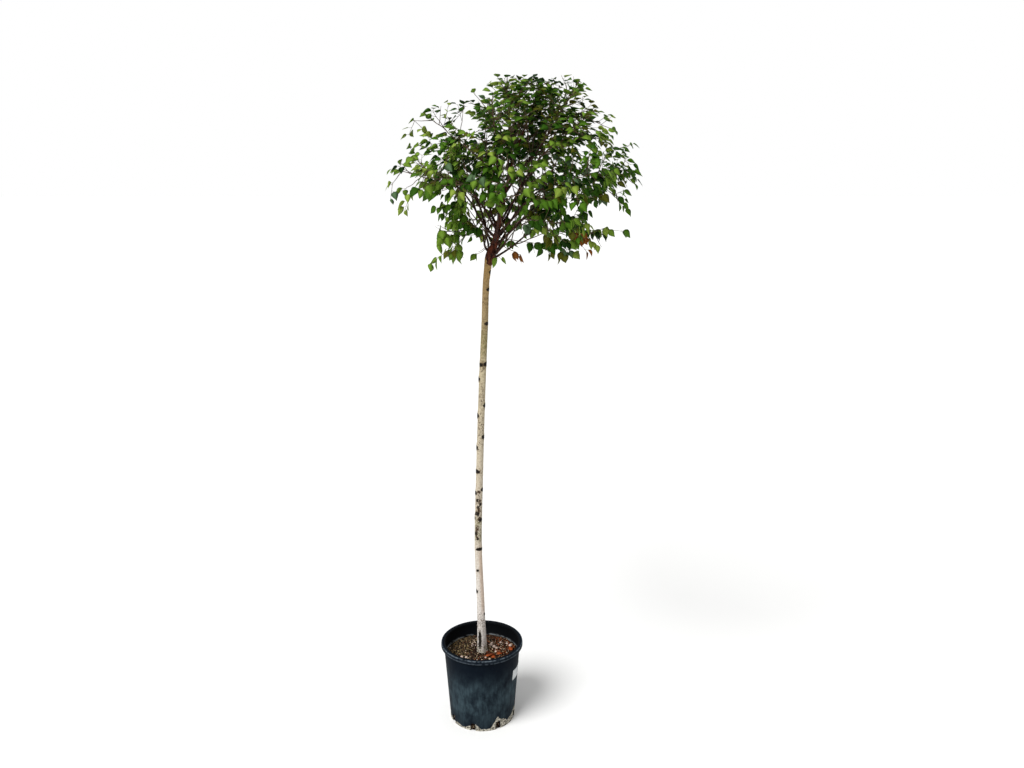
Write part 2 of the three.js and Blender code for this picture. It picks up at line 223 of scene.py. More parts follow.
@dataclass(frozen=True)
class Finish:
    """A finish: its name, and the shader values that are the same all over it."""

    name: str
    roughness: float = 0.7
    sheen: float = 0.5

    def make(self) -> Material:
        """Make a new material with its shader set and its pattern laid.

        Returns:
            The material.
        """
        material = bpy.data.materials.new(self.name)
        material.use_nodes = True
        inputs = {"Roughness": self.roughness, "Specular IOR Level": self.sheen}
        inputs.update(self.lay(Brush(material.node_tree)))
        join(material.node_tree.nodes["Principled BSDF"], inputs)
        return material

    def lay(self, brush: Brush) -> dict[str, object]:
        """Lay the pattern.

        Args:
            brush: Lays nodes in the material.

        Returns:
            What the shader's inputs take.
        """
        raise NotImplementedError


@dataclass(frozen=True)
class PlainPaper(Finish):
    """The studio's seamless paper: one pale tone, quite matt."""

    tone: str = "#f4f4f3"

    def lay(self, brush: Brush) -> dict[str, object]:
        """Give the tone alone."""
        return {"Base Color": self.tone}


@dataclass(frozen=True)
class MouldedPolypropylene(Finish):
    """Recycled polypropylene, blow moulded: a dull blue-black skin, hazed grey-green in patches and in faint
    upright flow lines where it has weathered, and pale along the edges of its lip, partly from rubbing and
    partly as a painted highlight."""

    deep: str = "#050c16"
    hazed: str = "#3c4c53"
    # Pale on the lip's edges: partly rubbed plastic, partly a painted highlight.
    edge_wear_and_highlight: str = "#6a757e"
    patch: float = 28.0
    upright: float = 0.6
    line: float = 5.0
    line_upright: float = 0.12
    clean_above: float = 225.0
    hazed_below: float = 120.0
    foot_clean: float = 12.0
    foot_hazed: float = 75.0
    scuff: float = 9.0
    grain: float = 1.2

    def lay(self, brush: Brush) -> dict[str, object]:
        """Lay the haze, the flow lines and the pale edges, which are partly wear and partly painted
        highlight.

        Args:
            brush: Lays nodes in the material.

        Returns:
            What the shader's inputs take.
        """
        height = brush.along("Z")
        patches = brush.ease(brush.cloud(self.patch, 9.0, self.upright, Roughness=0.62), 0.22, 0.82)
        low = brush.ease(height, self.clean_above * MM, self.hazed_below * MM, 0.06, 1.0)
        foot = brush.ease(height, self.foot_clean * MM, self.foot_hazed * MM, 0.4, 1.0)
        haze = brush.reckon("MULTIPLY", patches, brush.reckon("MULTIPLY", low, foot))
        flow = brush.cloud(self.line, 4.0, self.line_upright)
        haze = brush.reckon("MULTIPLY", haze, brush.ease(flow, 0.4, 0.7, 0.75, 1.2))
        broken = brush.ease(brush.cloud(self.scuff, 5.0), 0.32, 0.6)
        # The lip's pale edges: partly rubbed wear, partly a painted highlight.
        wear_and_highlight = brush.reckon("MULTIPLY", brush.marked("edge"), broken)
        return {
            "Base Color": brush.blend(wear_and_highlight, brush.blend(haze, self.deep, self.hazed), self.edge_wear_and_highlight),
            "Roughness": add_node(brush.tree, "MapRange", (flow, 0.0, 1.0, 0.45, 0.75)),
            "Normal": brush.relief(brush.cloud(self.grain, 2.0), 0.25, 0.35),
        }


@dataclass(frozen=True)
class ShadedPolypropylene(Finish):
    """The same plastic inside the pot, darker than outside as painted shade: near black, with a broken pale
    line of lime at the soil's edge.
    """

    deep: str = "#06090d"
    lime: str = "#767b7e"
    tide: float = 221.0
    tide_half: float = 7.0
    patch: float = 24.0

    def lay(self, brush: Brush) -> dict[str, object]:
        """Lay the tide line in broken patches.

        Args:
            brush: Lays nodes in the material.

        Returns:
            What the shader's inputs take.
        """
        off = brush.reckon("ABSOLUTE", brush.reckon("SUBTRACT", brush.along("Z"), self.tide * MM))
        patches = brush.ease(brush.cloud(self.patch, 4.0, 3.0), 0.45, 0.62)
        shown = brush.reckon("MULTIPLY", brush.ease(off, self.tide_half * MM, 0.0), patches)
        return {"Base Color": brush.blend(shown, self.deep, self.lime)}


@dataclass(frozen=True)
class Mottled(Finish):
    """A finish of a few colours in soft patches, with a fine relief: dried mud, wood chips, stones, paper."""

    stops: Stops = ((0.3, "#000000"), (0.7, "#ffffff"))
    patch: float = 3.0
    grain: float = 1.2
    depth: float = 0.4

    def lay(self, brush: Brush) -> dict[str, object]:
        """Lay the patches and the relief.

        Args:
            brush: Lays nodes in the material.

        Returns:
            What the shader's inputs take.
        """
        return {
            "Base Color": brush.ramp(brush.cloud(self.patch, 6.0), self.stops),
            "Normal": brush.relief(brush.cloud(self.grain, 4.0), self.depth),
        }


@dataclass(frozen=True)
class BarkCompost(Finish):
    """Potting compost of composted bark: near-black gaps between crumbs, the compost's own dark deepened as
    painted shade; the crumbs are dry and tan on the far left, dark and damp in the middle and red-brown on
    the right, with a few pale flecks. Low down, where it shows only through the slots, it is near black as
    painted shade."""

    dark: str = "#140c08"
    dry: str = "#75623f"
    damp: str = "#3c261c"
    red: str = "#6b3617"
    fleck: str = "#c2ad8c"
    crumb: float = 4.0
    grit: float = 2.9
    dry_to: Pair = (-62.0, -20.0)
    red_from: Pair = (-5.0, 50.0)
    # From the first height down to the second the compost turns near black: painted shade where it shows only
    # through the slots.
    painted_shade_heights: Pair = (190.0, 90.0)

    def lay(self, brush: Brush) -> dict[str, object]:
        """Lay the crumbs with painted shade in their gaps, their flecks, the drift from dry to red-brown and
        the painted shade low down.

        Args:
            brush: Lays nodes in the material.

        Returns:
            What the shader's inputs take.
        """
        side, height = brush.along("X"), brush.along("Z")
        off_left, to_right, deep = (
            brush.ease(axis, low * MM, high * MM)
            for axis, (low, high) in ((side, self.dry_to), (side, self.red_from), (height, self.painted_shade_heights))
        )
        loose = brush.blend(to_right, brush.blend(off_left, self.dry, self.damp), self.red)
        # Near black where the crumb pattern is low: the compost's own dark, deepened as painted shade in the
        # gaps.
        crumbs = brush.ease(brush.cloud(self.crumb, 8.0), 0.49, 0.62)
        body = brush.blend(crumbs, self.dark, brush.blend(deep, loose, self.dark))
        flecks = brush.ease(brush.cloud(self.grit, 2.0), 0.6, 0.68)
        return {"Base Color": brush.blend(flecks, body, self.fleck), "Normal": brush.relief(crumbs, 1.2)}


@dataclass(frozen=True)
class BirchBark(Finish):
    """Papery birch bark on the clear stem: white low down, creamy and then golden higher up, aged brown in
    blotches, fissured and green with algae in places, with fine lenticels and black branch scars."""

    # The stops run from the soil at 0 to the graft at 1.
    stops: Stops = (
        (0.0, "#dcd3ce"), (0.05, "#d3cdc8"), (0.2, "#cac3ba"), (0.3, "#c4baab"), (0.45, "#bcb19e"),
        (0.63, "#bcb097"), (0.73, "#b9ad90"), (0.79, "#a39474"), (0.87, "#978461"), (1.0, "#a08150"),
    )
    scar: str = "#0e0906"
    halo: str = "#4f4127"
    lenticel: str = "#5c4f40"
    aged: str = "#685638"
    crack: str = "#3b2a19"
    # A warmer, darker tone low on the side that faces +X, away from the key light: partly the bark's own
    # pinkish tan, partly painted shade.
    warm_and_shade: str = "#b8926f"
    algae: str = "#6a6c3c"
    foot: float = 225.0
    graft: float = 1490.0
    drift: float = 30.0
    drift_patch: float = 16.0
    grain: float = 3.0
    blotch: float = 5.0
    speck: float = 3.2

    def lay(self, brush: Brush) -> dict[str, object]:
        """Lay the colour by height, and then each kind of mark over the one before.

        Args:
            brush: Lays nodes in the material.

        Returns:
            What the shader's inputs take.
        """
        drift = self.drift * MM
        cloud = brush.cloud(self.drift_patch, 4.0, 0.36)
        offset = add_node(brush.tree, "MapRange", (cloud, 0.0, 1.0, -drift, drift))
        shifted = brush.reckon("ADD", brush.along("Z"), offset)
        share = add_node(brush.tree, "MapRange", (shifted, self.foot * MM, self.graft * MM))
        colour = brush.ramp(share, self.stops)
        grain, speck = brush.cloud(self.grain, 4.0), brush.cloud(self.speck, 3.0)
        blotches = brush.ease(brush.cloud(self.blotch, 7.0), 0.42, 0.66)
        scar = brush.marked("scar")
        dashes = brush.ease(brush.reckon("ADD", brush.marked("specks"), speck), 0.64, 0.74)
        cracked = brush.reckon("MULTIPLY_ADD", brush.marked("rough"), 0.42, speck)
        etched = brush.ease(grain, 0.36, 0.56, 0.45, 1.0)
        ragged = brush.reckon("MULTIPLY_ADD", scar, etched, -0.1)
        layers = (
            # The warmer, darker side away from the key light: pinkish bark and painted shade.
            (brush.marked("warm_and_shade"), self.warm_and_shade),
            (brush.reckon("MULTIPLY", blotches, brush.marked("age")), self.aged),
            (dashes, self.lenticel),
            (brush.reckon("MULTIPLY", brush.marked("bloom"), brush.ease(grain, 0.4, 0.6)), self.algae),
            (brush.ease(cracked, 0.72, 0.86), self.crack),
            (brush.ease(scar, 0.05, 0.9, 0.0, 0.8), self.halo),
            (brush.ease(ragged, 0.15, 0.5), self.scar),
        )
        for share, tone in layers:
            colour = brush.blend(share, colour, tone)
        return {"Base Color": colour, "Normal": brush.relief(dashes, 0.3, 0.6)}


@dataclass(frozen=True)
class YoungBark(Finish):
    """Smooth young bark of shoots and boughs, with a dull shine and pale dots of lenticels."""

    # These default tones, kept by the boughs inside the crown, are the bark's own red-brown deepened as
    # painted shade.
    dark: str = "#190c08"
    light: str = "#40241a"
    dot: str = "#6c5545"
    streak: float = 5.0
    dots: float = 2.6

    def lay(self, brush: Brush) -> dict[str, object]:
        """Lay the streaks and the dots.

        Args:
            brush: Lays nodes in the material.

        Returns:
            What the shader's inputs take.
        """
        streaks = brush.ease(brush.cloud(self.streak, 4.0, 0.2), 0.35, 0.68)
        spots = brush.ease(brush.cloud(self.dots, 1.0), 0.66, 0.74)
        return {
            "Base Color": brush.blend(spots, brush.blend(streaks, self.dark, self.light), self.dot),
            "Normal": brush.relief(spots, 0.2, 0.5),
        }


@dataclass(frozen=True)
class LeafBlade(Finish):
    """A birch leaf's blade or stalk: one plain green all over, a faint waxy shine and a fine crinkle."""

    green: str = "#557524"
    crinkle: float = 3.2

    def lay(self, brush: Brush) -> dict[str, object]:
        """Give the plain green and lay the crinkle."""
        return {"Base Color": self.green, "Normal": brush.relief(brush.cloud(self.crinkle, 2.0), 0.5, 0.35)}


class Tint(Enum):
    """The colours of the crown's leaves. Each spray has one of them. Besides the leaves' own greens and the
    brown of turned leaves, they paint light and shade: the brightest greens are painted light, the darkest
    painted shade, and the blue-green a painted reflection of the sky.
    """

    # Painted light: dealt most outside, on top, on the left and in the skirt.
    FRESH = "#83993c"
    # Partly painted light: dealt more outside, on the left and in the skirt.
    LIME = "#66852a"
    GRASS = "#476c18"
    # Painted shade: dealt inside and on the right.
    DEEP = "#2c500b"
    SHADE = "#153103"
    # A painted reflection of the sky on glossy leaves, dealt on the right.
    SKY_SHEEN = "#4e6745"
    OLIVE = "#545814"
    RUST = "#7d4a1a"


class Rings(IntEnum):
    """How many rings of points each kind of shoot is drawn with."""

    STEM = 14
    TWIG = 8
    SIDE = 5


# Shapes


@dataclass
class Template:
    """A small closed shape as arrays, to be repeated in a joined mesh."""

    points: np.ndarray
    faces: np.ndarray

    @classmethod
    def of(cls, shape: BMesh) -> "Template":
        """Take the points and triangles of a finished bmesh, and free it.

        Args:
            shape: The bmesh.

        Returns:
            The template.
        """
        bmesh.ops.triangulate(shape, faces=shape.faces[:])
        shape.verts.index_update()
        points = np.array([v.co[:] for v in shape.verts])
        faces = np.array([[v.index for v in f.verts] for f in shape.faces])
        shape.free()
        return cls(points, faces)

    def rings(self, count: int) -> np.ndarray:
        """Tell which ring each point lies in, on a prism with a number of rings."""
        return np.rint(self.points[:, 2] * (count - 1)).astype(int)


@dataclass
class Heap:
    """Many placed copies of templates, which become one mesh."""

    points: list[np.ndarray] = field(default_factory=list)
    faces: list[np.ndarray] = field(default_factory=list)
    count: int = 0

    def add(self, template: Template, points: np.ndarray) -> None:
        """Add one copy of a template.

        Args:
            template: The shape that is copied.
            points: Where its points lie in this copy, in mm.
        """
        self.points.append(points)
        self.faces.append(template.faces + self.count)
        self.count += len(points)

    def build(self, name: str, material: Material) -> Piece:
        """Join the copies.

        Args:
            name: The new piece's name.
            material: Its finish.

        Returns:
            The new object, at the origin.
        """
        places = np.concatenate(self.points) * MM
        corners = np.concatenate(self.faces)
        mesh = bpy.data.meshes.new(name)
        mesh.vertices.add(len(places))
        mesh.vertices.foreach_set("co", places.astype(np.float32).ravel())
        mesh.loops.add(corners.size)
        mesh.loops.foreach_set("vertex_index", corners.astype(np.int32).ravel())
        mesh.polygons.add(len(corners))
        mesh.polygons.foreach_set("loop_start", np.arange(0, corners.size, 3, dtype=np.int32))
        mesh.update(calc_edges=True)
        mesh.shade_smooth()
        return object_of(mesh, [material])


def object_of(mesh: bpy.types.Mesh, materials: Sequence[Material]) -> Piece:
    """Put a mesh in the scene.

    Args:
        mesh: The mesh, in metres, with the piece's name.
        materials: Its finishes, in the order of its slots.

    Returns:
        The new object, at the origin.
    """
    piece = bpy.data.objects.new(mesh.name, mesh)
    for material in materials:
        mesh.materials.append(material)
    bpy.context.scene.collection.objects.link(piece)
    return piece


def piece_of(shape: BMesh, name: str, *materials: Material) -> Piece:
    """Turn a bmesh into a smooth piece with sharp edges at steep corners, and free it.

    Args:
        shape: The finished bmesh, in metres.
        name: The piece's name.
        *materials: Its finishes, in the order of its slots.

    Returns:
        The new object, at the origin.
    """
    mesh = bpy.data.meshes.new(name)
    shape.to_mesh(mesh)
    shape.free()
    mesh.shade_smooth()
    mesh.set_sharp_from_angle(angle=math.radians(SHARP_DEG))
    return object_of(mesh, materials)


def mark(mesh: bpy.types.Mesh, name: str, shares: Sequence[float]) -> None:
    """Write a share for each of a mesh's points, as an attribute that its finish reads."""
    mesh.attributes.new(name, "FLOAT", "POINT").data.foreach_set("value", np.array(shares, np.float32))


def settle(piece: Piece, nodes: Sequence[str] = ()) -> None:
    """Fix a piece to the part: it rides on the one body, and stands for the solids named, which it hides.

    Args:
        piece: The finished piece.
        nodes: The solids that it stands for.
    """
    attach(piece, "root")
    if nodes:
        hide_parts(*nodes)
    log.info("%s: %d faces, stands for %d solids", piece.name, len(piece.data.polygons), len(nodes))


def thicken(piece: Piece, name: str, thickness: float) -> bpy.types.Modifier:
    """Give a sheet its thickness, on the side away from its faces.

    Args:
        piece: The sheet.
        name: The modifier's name.
        thickness: The thickness in mm.

    Returns:
        The modifier that does it.
    """
    skin = piece.modifiers.new(name, "SOLIDIFY")
    skin.thickness = thickness * MM
    skin.offset = -1.0
    return skin


def spun(profile: Sequence[Pair], columns: int) -> BMesh:
    """Spin a profile round the Z axis.

    Args:
        profile: Radii and heights in mm, from the axis or round a ring.
        columns: How many columns of faces the spin has.

    Returns:
        A bmesh in metres, with its seam and its pole merged.
    """
    shape = bmesh.new()
    verts = [shape.verts.new((r * MM, 0.0, z * MM)) for r, z in profile]
    edges = [shape.edges.new(pair) for pair in zip(verts, verts[1:])]
    bmesh.ops.spin(
        shape, geom=verts + edges, cent=(0, 0, 0), axis=UP, angle=FULL_TURN, steps=columns, use_merge=True
    )
    bmesh.ops.remove_doubles(shape, verts=shape.verts[:], dist=0.01 * MM)
    return shape


def prism(sides: int, rings: int) -> Template:
    """Make a closed round prism with a radius of 1 whose rings lie evenly from 0 to 1 along Z.

    Args:
        sides: How many sides it has.
        rings: How many rings of points, with the two ends.

    Returns:
        The prism as a template.
    """
    shape = bmesh.new()
    bmesh.ops.create_cone(shape, cap_ends=True, segments=sides, radius1=1.0, radius2=1.0, depth=1.0)
    bmesh.ops.translate(shape, verts=shape.verts[:], vec=(0.0, 0.0, 0.5))
    if rings > 2:
        upright = [e for e in shape.edges if abs(e.verts[0].co.z - e.verts[1].co.z) > 0.5]
        bmesh.ops.subdivide_edges(shape, edges=upright, cuts=rings - 2, use_grid_fill=True)
    return Template.of(shape)


def bent(template: Template, line: Sequence[Vector], radii: Sequence[float]) -> np.ndarray:
    """Bend a prism along a line, with a radius at each ring.

    Args:
        template: A prism with as many rings as the line has points.
        line: The centre of each ring, in mm.
        radii: The radius of each ring, in mm.

    Returns:
        The places of the prism's points, in mm.
    """
    ways = [(b - a).normalized() for a, b in zip(line, line[1:])]
    ways.append(ways[-1])
    side = ways[0].orthogonal().normalized()
    sides = []
    for before, way in zip([ways[0], *ways], ways):
        side = before.rotation_difference(way) @ side
        sides.append(side.copy())
    sides = np.array(sides)
    overs = np.cross(np.array(ways), sides)
    ring = template.rings(len(line))
    offset = template.points[:, :1] * sides[ring] + template.points[:, 1:2] * overs[ring]
    return np.array(line)[ring] + offset * np.array(radii)[ring, None]


def lerp(low: float, high: float, share: float) -> float:
    """Give the value at a share of the way between two values."""
    return low + (high - low) * share


def smoothstep(low: float, high: float, value: float) -> float:
    """Ease from 0 at one value to 1 at another."""
    share = min(max((value - low) / (high - low), 0.0), 1.0)
    return share * share * (3 - 2 * share)


def bell(off: float) -> float:
    """Fall from 1 at 0 to almost nothing at 2, as a bell curve does."""
    return math.exp(-(off**2))


def apart(turn: float, other: float) -> float:
    """Give the angle from one heading to another the short way round, in radians."""
    return math.remainder(turn - other, FULL_TURN)


def heading(turn: float, rise: float) -> Vector:
    """Give the direction with a heading round the Z axis and a rise above the level, in radians."""
    return Vector((math.cos(turn) * math.cos(rise), math.sin(turn) * math.cos(rise), math.sin(rise)))


def dice(seed: float) -> Roll:
    """Make repeatable random numbers by a linear rule, the same ones that the solids grow by.

    Args:
        seed: Where the numbers start.

    Returns:
        A function that gives the next number, from 0 to 1.
    """
    state = float(seed)

    def roll() -> float:
        """Give the next number."""
        nonlocal state
        state = (state * DICE_FACTOR + DICE_STEP) % DICE_RANGE
        return state / DICE_RANGE

    return roll


@dataclass
class Course:
    """A smooth centre line as a fine row of points in mm, with places told by a share of its length."""

    points: list[Vector]
    marks: list[float] = field(init=False)

    def __post_init__(self) -> None:
        """Measure the line along its points."""
        steps = zip(self.points, self.points[1:])
        self.marks = [0.0, *accumulate((b - a).length for a, b in steps)]

    @classmethod
    def bezier(cls, start: Vector, out: Vector, into: Vector, end: Vector, steps: int = 40) -> "Course":
        """Lay a Bezier curve.

        Args:
            start: Its first point.
            out: The handle that it leaves by.
            into: The handle that it arrives by.
            end: Its last point.
            steps: How many steps it is drawn with.

        Returns:
            The course.
        """
        points = []
        for i in range(steps + 1):
            t = i / steps
            u = 1 - t
            points.append(start * u**3 + out * (3 * u * u * t) + into * (3 * u * t * t) + end * t**3)
        return cls(points)

    @classmethod
    def through(cls, stations: Sequence[Vector], steps: int = 24) -> "Course":
        """Lay a smooth line through stations, by centripetal Catmull-Rom curves.

        Args:
            stations: The points that it goes through.
            steps: How many steps each stretch has.

        Returns:
            The course.
        """
        ends = [2 * stations[0] - stations[1], *stations, 2 * stations[-1] - stations[-2]]
        points = [stations[0]]
        for before, start, end, after in zip(ends, ends[1:], ends[2:], ends[3:]):
            d0, d1, d2 = (math.sqrt((b - a).length) for a, b in ((before, start), (start, end), (end, after)))
            leave = (start - before) / d0 - (end - before) / (d0 + d1) + (end - start) / d1
            arrive = (end - start) / d1 - (after - start) / (d1 + d2) + (after - end) / d2
            stretch = cls.bezier(start, start + leave * d1 / 3, end - arrive * d1 / 3, end, steps)
            points.extend(stretch.points[1:])
        return cls(points)

    @property
    def length(self) -> float:
        """The line's whole length."""
        return self.marks[-1]

    def where(self, marks: Sequence[float], mark: float) -> Vector:
        """Find the place where a measure that rises along the line reaches a value.

        Args:
            marks: The measure at each point.
            mark: The value.

        Returns:
            The place.
        """
        i = min(max(bisect_left(marks, mark), 1), len(marks) - 1)
        part = (mark - marks[i - 1]) / (marks[i] - marks[i - 1])
        return self.points[i - 1].lerp(self.points[i], part)

    def at(self, share: float) -> Vector:
        """Give the point at a share of the length."""
        return self.where(self.marks, share * self.length)

    def way(self, share: float) -> Vector:
        """Give the direction at a share of the length."""
        low, high = max(share - 0.01, 0.0), min(share + 0.01, 1.0)
        return (self.at(high) - self.at(low)).normalized()

    def at_height(self, height: float) -> Vector:
        """Give the point at a height, on a line that rises all the way."""
        return self.where([p.z for p in self.points], height)


# The pot and what is in it


@dataclass
class NurseryPot:
    """A tapered pot with a lip that turns out and down, drainage slots in the bottom corner, a crust of dried
    mud round its foot and a blank paper label on its right side."""

    height: float = 265.0
    rim_radius: float = 132.5
    base_radius: float = 105.0
    wall_top_radius: float = 124.0
    mouth_radius: float = 119.1
    wall: float = 2.4
    lip_depth: float = 12.5
    corner: float = 3.5
    slot_count: int = 8
    slot_first_deg: float = -60.0
    slot_floor_radius: float = 93.0
    slot_height: float = 23.0
    slot_arch: float = 4.5
    slot_columns: int = 4
    columns: int = 192
    crust_top: float = 48.0
    crust_row: float = 2.0
    crust_low: float = 4.6
    crust_over_slots: float = 25.0
    crust_at_right: float = 14.0
    crust_thick: float = 0.9
    crust_sunk: float = 0.5
    crust_skin: float = 1.4
    crust_slot_deg: float = 9.0
    crust_washed_deg: Pair = (-150.0, 22.0)
    crust_right_deg: Pair = (-38.0, 24.0)
    label_from_deg: float = -32.0
    label_to_deg: float = 16.0
    label_low: float = 156.0
    label_high: float = 192.0
    label_off: float = 0.35
    label_lift: float = 0.7
    label_thick: float = 0.25
    edge_round: float = 0.6

    @property
    def slot_half(self) -> float:
        """Half the angle that a slot takes up, in radians."""
        return math.pi * self.slot_columns / self.columns

    def slot_turns(self) -> list[float]:
        """Give the slots' headings in radians."""
        step = 360.0 / self.slot_count
        return [math.radians(self.slot_first_deg + i * step) for i in range(self.slot_count)]

    def off_slot(self, turn: float) -> float:
        """Give the angle from a heading to the nearest slot's middle, in radians."""
        return min(abs(apart(turn, slot)) for slot in self.slot_turns())

    def outside(self, height: float) -> float:
        """Give the wall's outer radius at a height."""
        return lerp(self.base_radius, self.wall_top_radius, (height - self.corner) / (self.height - 8.0))

    def profile(self) -> list[Pair]:
        """Give the inside of the floor and the wall, and on over the lip to its outer edge.

        Returns:
            The sheet's radii and heights in mm.
        """
        floor, top = self.wall, self.height
        rows = [self.corner + floor, 8.0, 14.0, self.slot_height, 30.0, 38.0, 48.0]
        rows += [float(z) for z in range(60, 251, 19)]
        inside = [(self.outside(z) - self.wall, z) for z in rows]
        edge = self.mouth_radius
        return [
            (0.0, floor), (40.0, floor), (70.0, floor), (self.slot_floor_radius, floor),
            (self.base_radius - self.wall - self.corner, floor),
            (self.base_radius - self.wall - 1.0, floor + 1.0),
            *inside,
            (edge + 0.4, top - 9.0), (edge, top - 6.0), (edge, top - 3.0), (edge + 0.7, top - 0.9),
            (edge + 2.4, top), (edge + 4.6, top), (self.rim_radius - 4.8, top), (self.rim_radius - 2.6, top),
            (self.rim_radius - 0.9, top - 0.8), (self.rim_radius - 0.3, top - 2.6),
            (self.rim_radius, top - self.lip_depth / 2), (self.rim_radius, top - self.lip_depth),
        ]

    def edge_wear_and_highlight(self, place: Vector) -> float:
        """Tell how pale the plastic is at a place in mm, from wear and painted highlight: the lip's two top
        edges and its lower edge.

        Args:
            place: The place.

        Returns:
            0 for the plain skin, and up to 1 where it is pale.
        """
        radius = place.xy.length
        if place.z < self.height - self.lip_depth - 1 or radius < self.mouth_radius - 1:
            return 0.0
        # Each row is a radius, a height and how pale it is there, from wear and painted highlight.
        edges = (
            (self.mouth_radius + 0.9, self.height - 0.6, 0.5),
            (self.rim_radius - 1.2, self.height - 0.9, 0.95),
            (self.rim_radius, self.height - self.lip_depth, 0.45),
        )
        return max(wear_and_highlight * math.exp(-((radius - r) ** 2 + (place.z - z) ** 2) / 2.0) for r, z, wear_and_highlight in edges)

    def in_slot(self, middle: Vector) -> bool:
        """Tell whether a face of the sheet lies in a slot, by its middle in metres."""
        in_corner = middle.z < self.slot_height * MM and middle.xy.length > self.slot_floor_radius * MM
        return in_corner and self.off_slot(math.atan2(middle.y, middle.x)) < self.slot_half

    def build_wall(self) -> None:
        """Build the pot from one sheet that gets its wall thickness outwards."""
        shape = spun(self.profile(), self.columns)
        bmesh.ops.recalc_face_normals(shape, faces=shape.faces[:])
        cut = [f for f in shape.faces if self.in_slot(f.calc_center_median())]
        bmesh.ops.delete(shape, geom=cut, context="FACES")
        for vert in shape.verts:
            off = self.off_slot(math.atan2(vert.co.y, vert.co.x)) / self.slot_half
            at_top = abs(vert.co.z - self.slot_height * MM) < 0.1 * MM
            if at_top and vert.is_boundary and off < 1:
                vert.co.z += self.slot_arch * (1 - off**2) * MM
        lip_from = (self.wall_top_radius + 0.2) * MM
        for face in shape.faces:
            face.material_index = int(face.calc_center_median().xy.length > lip_from)
        outer = MouldedPolypropylene("blow_moulded_polypropylene", 0.6, 0.03).make()
        # The inside takes a darker copy of the plastic: painted shade.
        inner = ShadedPolypropylene("polypropylene_inside", 0.75, 0.1).make()
        pot = piece_of(shape, "pot_wall", inner, outer, outer)
        # The 'edge' share marks the lip's pale edges, partly wear and partly painted highlight.
        mark(pot.data, "edge", [self.edge_wear_and_highlight(v.co / MM) for v in pot.data.vertices])
        skin = thicken(pot, "wall", self.wall)
        skin.use_even_offset = True
        skin.material_offset = 1
        soften = pot.modifiers.new("soften", "BEVEL")
        soften.width = self.edge_round * MM
        soften.segments = 2
        soften.limit_method = "ANGLE"
        soften.angle_limit = math.radians(50)
        settle(pot, ["pot"])

    def crust_edge(self, turn: float) -> float:
        """Give the height in mm that the mud reaches at a heading: high over the slots and on the right, and
        washed away at the far left.

        Args:
            turn: The heading in radians.

        Returns:
            The height.
        """
        washed, to_right = (
            bell(apart(turn, math.radians(facing)) / math.radians(half))
            for facing, half in (self.crust_washed_deg, self.crust_right_deg)
        )
        ragged = noise.fractal(heading(turn, 0.0) * 6.0, 0.9, 2.2, 5)
        peak = bell(self.off_slot(turn) / math.radians(self.crust_slot_deg)) * (1 - 0.85 * washed)
        return (
            self.crust_low * (1 + 0.7 * ragged)
            + self.crust_over_slots * peak * (1 + 0.5 * ragged)
            + self.crust_at_right * to_right * (1 + 0.8 * ragged)
        )

    def build_crust(self) -> None:
        """Build the dried mud as a thin closed skin that rises out of the wall."""
        rows = int(self.crust_top / self.crust_row)
        heights = [0.4 + i * self.crust_row for i in range(rows)]
        shape = spun([(self.outside(z), z) for z in heights], 2 * self.columns)
        clear = self.slot_half + math.radians(0.3)
        bare = []
        for vert in shape.verts:
            turn, height = math.atan2(vert.co.y, vert.co.x), vert.co.z / MM
            depth = smoothstep(5.0, -2.0, height - self.crust_edge(turn))
            coarse, fine = (noise.noise(vert.co * per_metre(size)) for size in (6.0, 2.5))
            lumps = 0.75 + 0.5 * coarse + 0.25 * fine
            out = depth * self.crust_thick * lumps - self.crust_sunk * (1 - depth)
            vert.co.xy = Vector((math.cos(turn), math.sin(turn))) * (self.outside(height) + out) * MM
            in_slot = self.off_slot(turn) < clear and height < self.slot_height + self.slot_arch
            if in_slot or depth == 0.0:
                bare.append(vert)
        bmesh.ops.delete(shape, geom=bare, context="VERTS")
        bmesh.ops.recalc_face_normals(shape, faces=shape.faces[:])
        mud = Mottled(
            "dried_silt", 0.95, 0.1,
            stops=((0.38, "#2b2a26"), (0.47, "#7f7b70"), (0.6, "#bdb8aa")), patch=5.0, grain=1.6, depth=0.6,
        ).make()
        crust = piece_of(shape, "mud_crust", mud)
        thicken(crust, "skin", self.crust_skin)
        settle(crust)

    def build_label(self) -> None:
        """Build the blank label, which follows the wall and lifts a little at one corner."""
        shape = bmesh.new()
        bmesh.ops.create_grid(shape, x_segments=36, y_segments=12, size=0.5)
        for vert in shape.verts:
            across, high = vert.co.x + 0.5, vert.co.y + 0.5
            turn = math.radians(lerp(self.label_from_deg, self.label_to_deg, across))
            height = lerp(self.label_low, self.label_high, high)
            lift = self.label_off + self.label_lift * smoothstep(0.75, 0.0, across + (1 - high))
            radius = self.outside(height) + (lift + 0.12 * noise.noise(Vector((across * 9, high * 4, 0))))
            vert.co = Vector((radius * math.cos(turn), radius * math.sin(turn), height)) * MM
        bmesh.ops.recalc_face_normals(shape, faces=shape.faces[:])
        paper = Mottled(
            "coated_paper", 0.5, 0.3,
            stops=((0.3, "#aeb2b4"), (0.7, "#cdd0d1")), patch=18.0, grain=4.0, depth=0.1,
        ).make()
        label = piece_of(shape, "blank_label", paper)
        thicken(label, "paper", self.label_thick)
        settle(label)

    def build(self) -> None:
        """Build the pot, the mud on it and the label."""
        self.build_wall()
        self.build_crust()
        self.build_label()


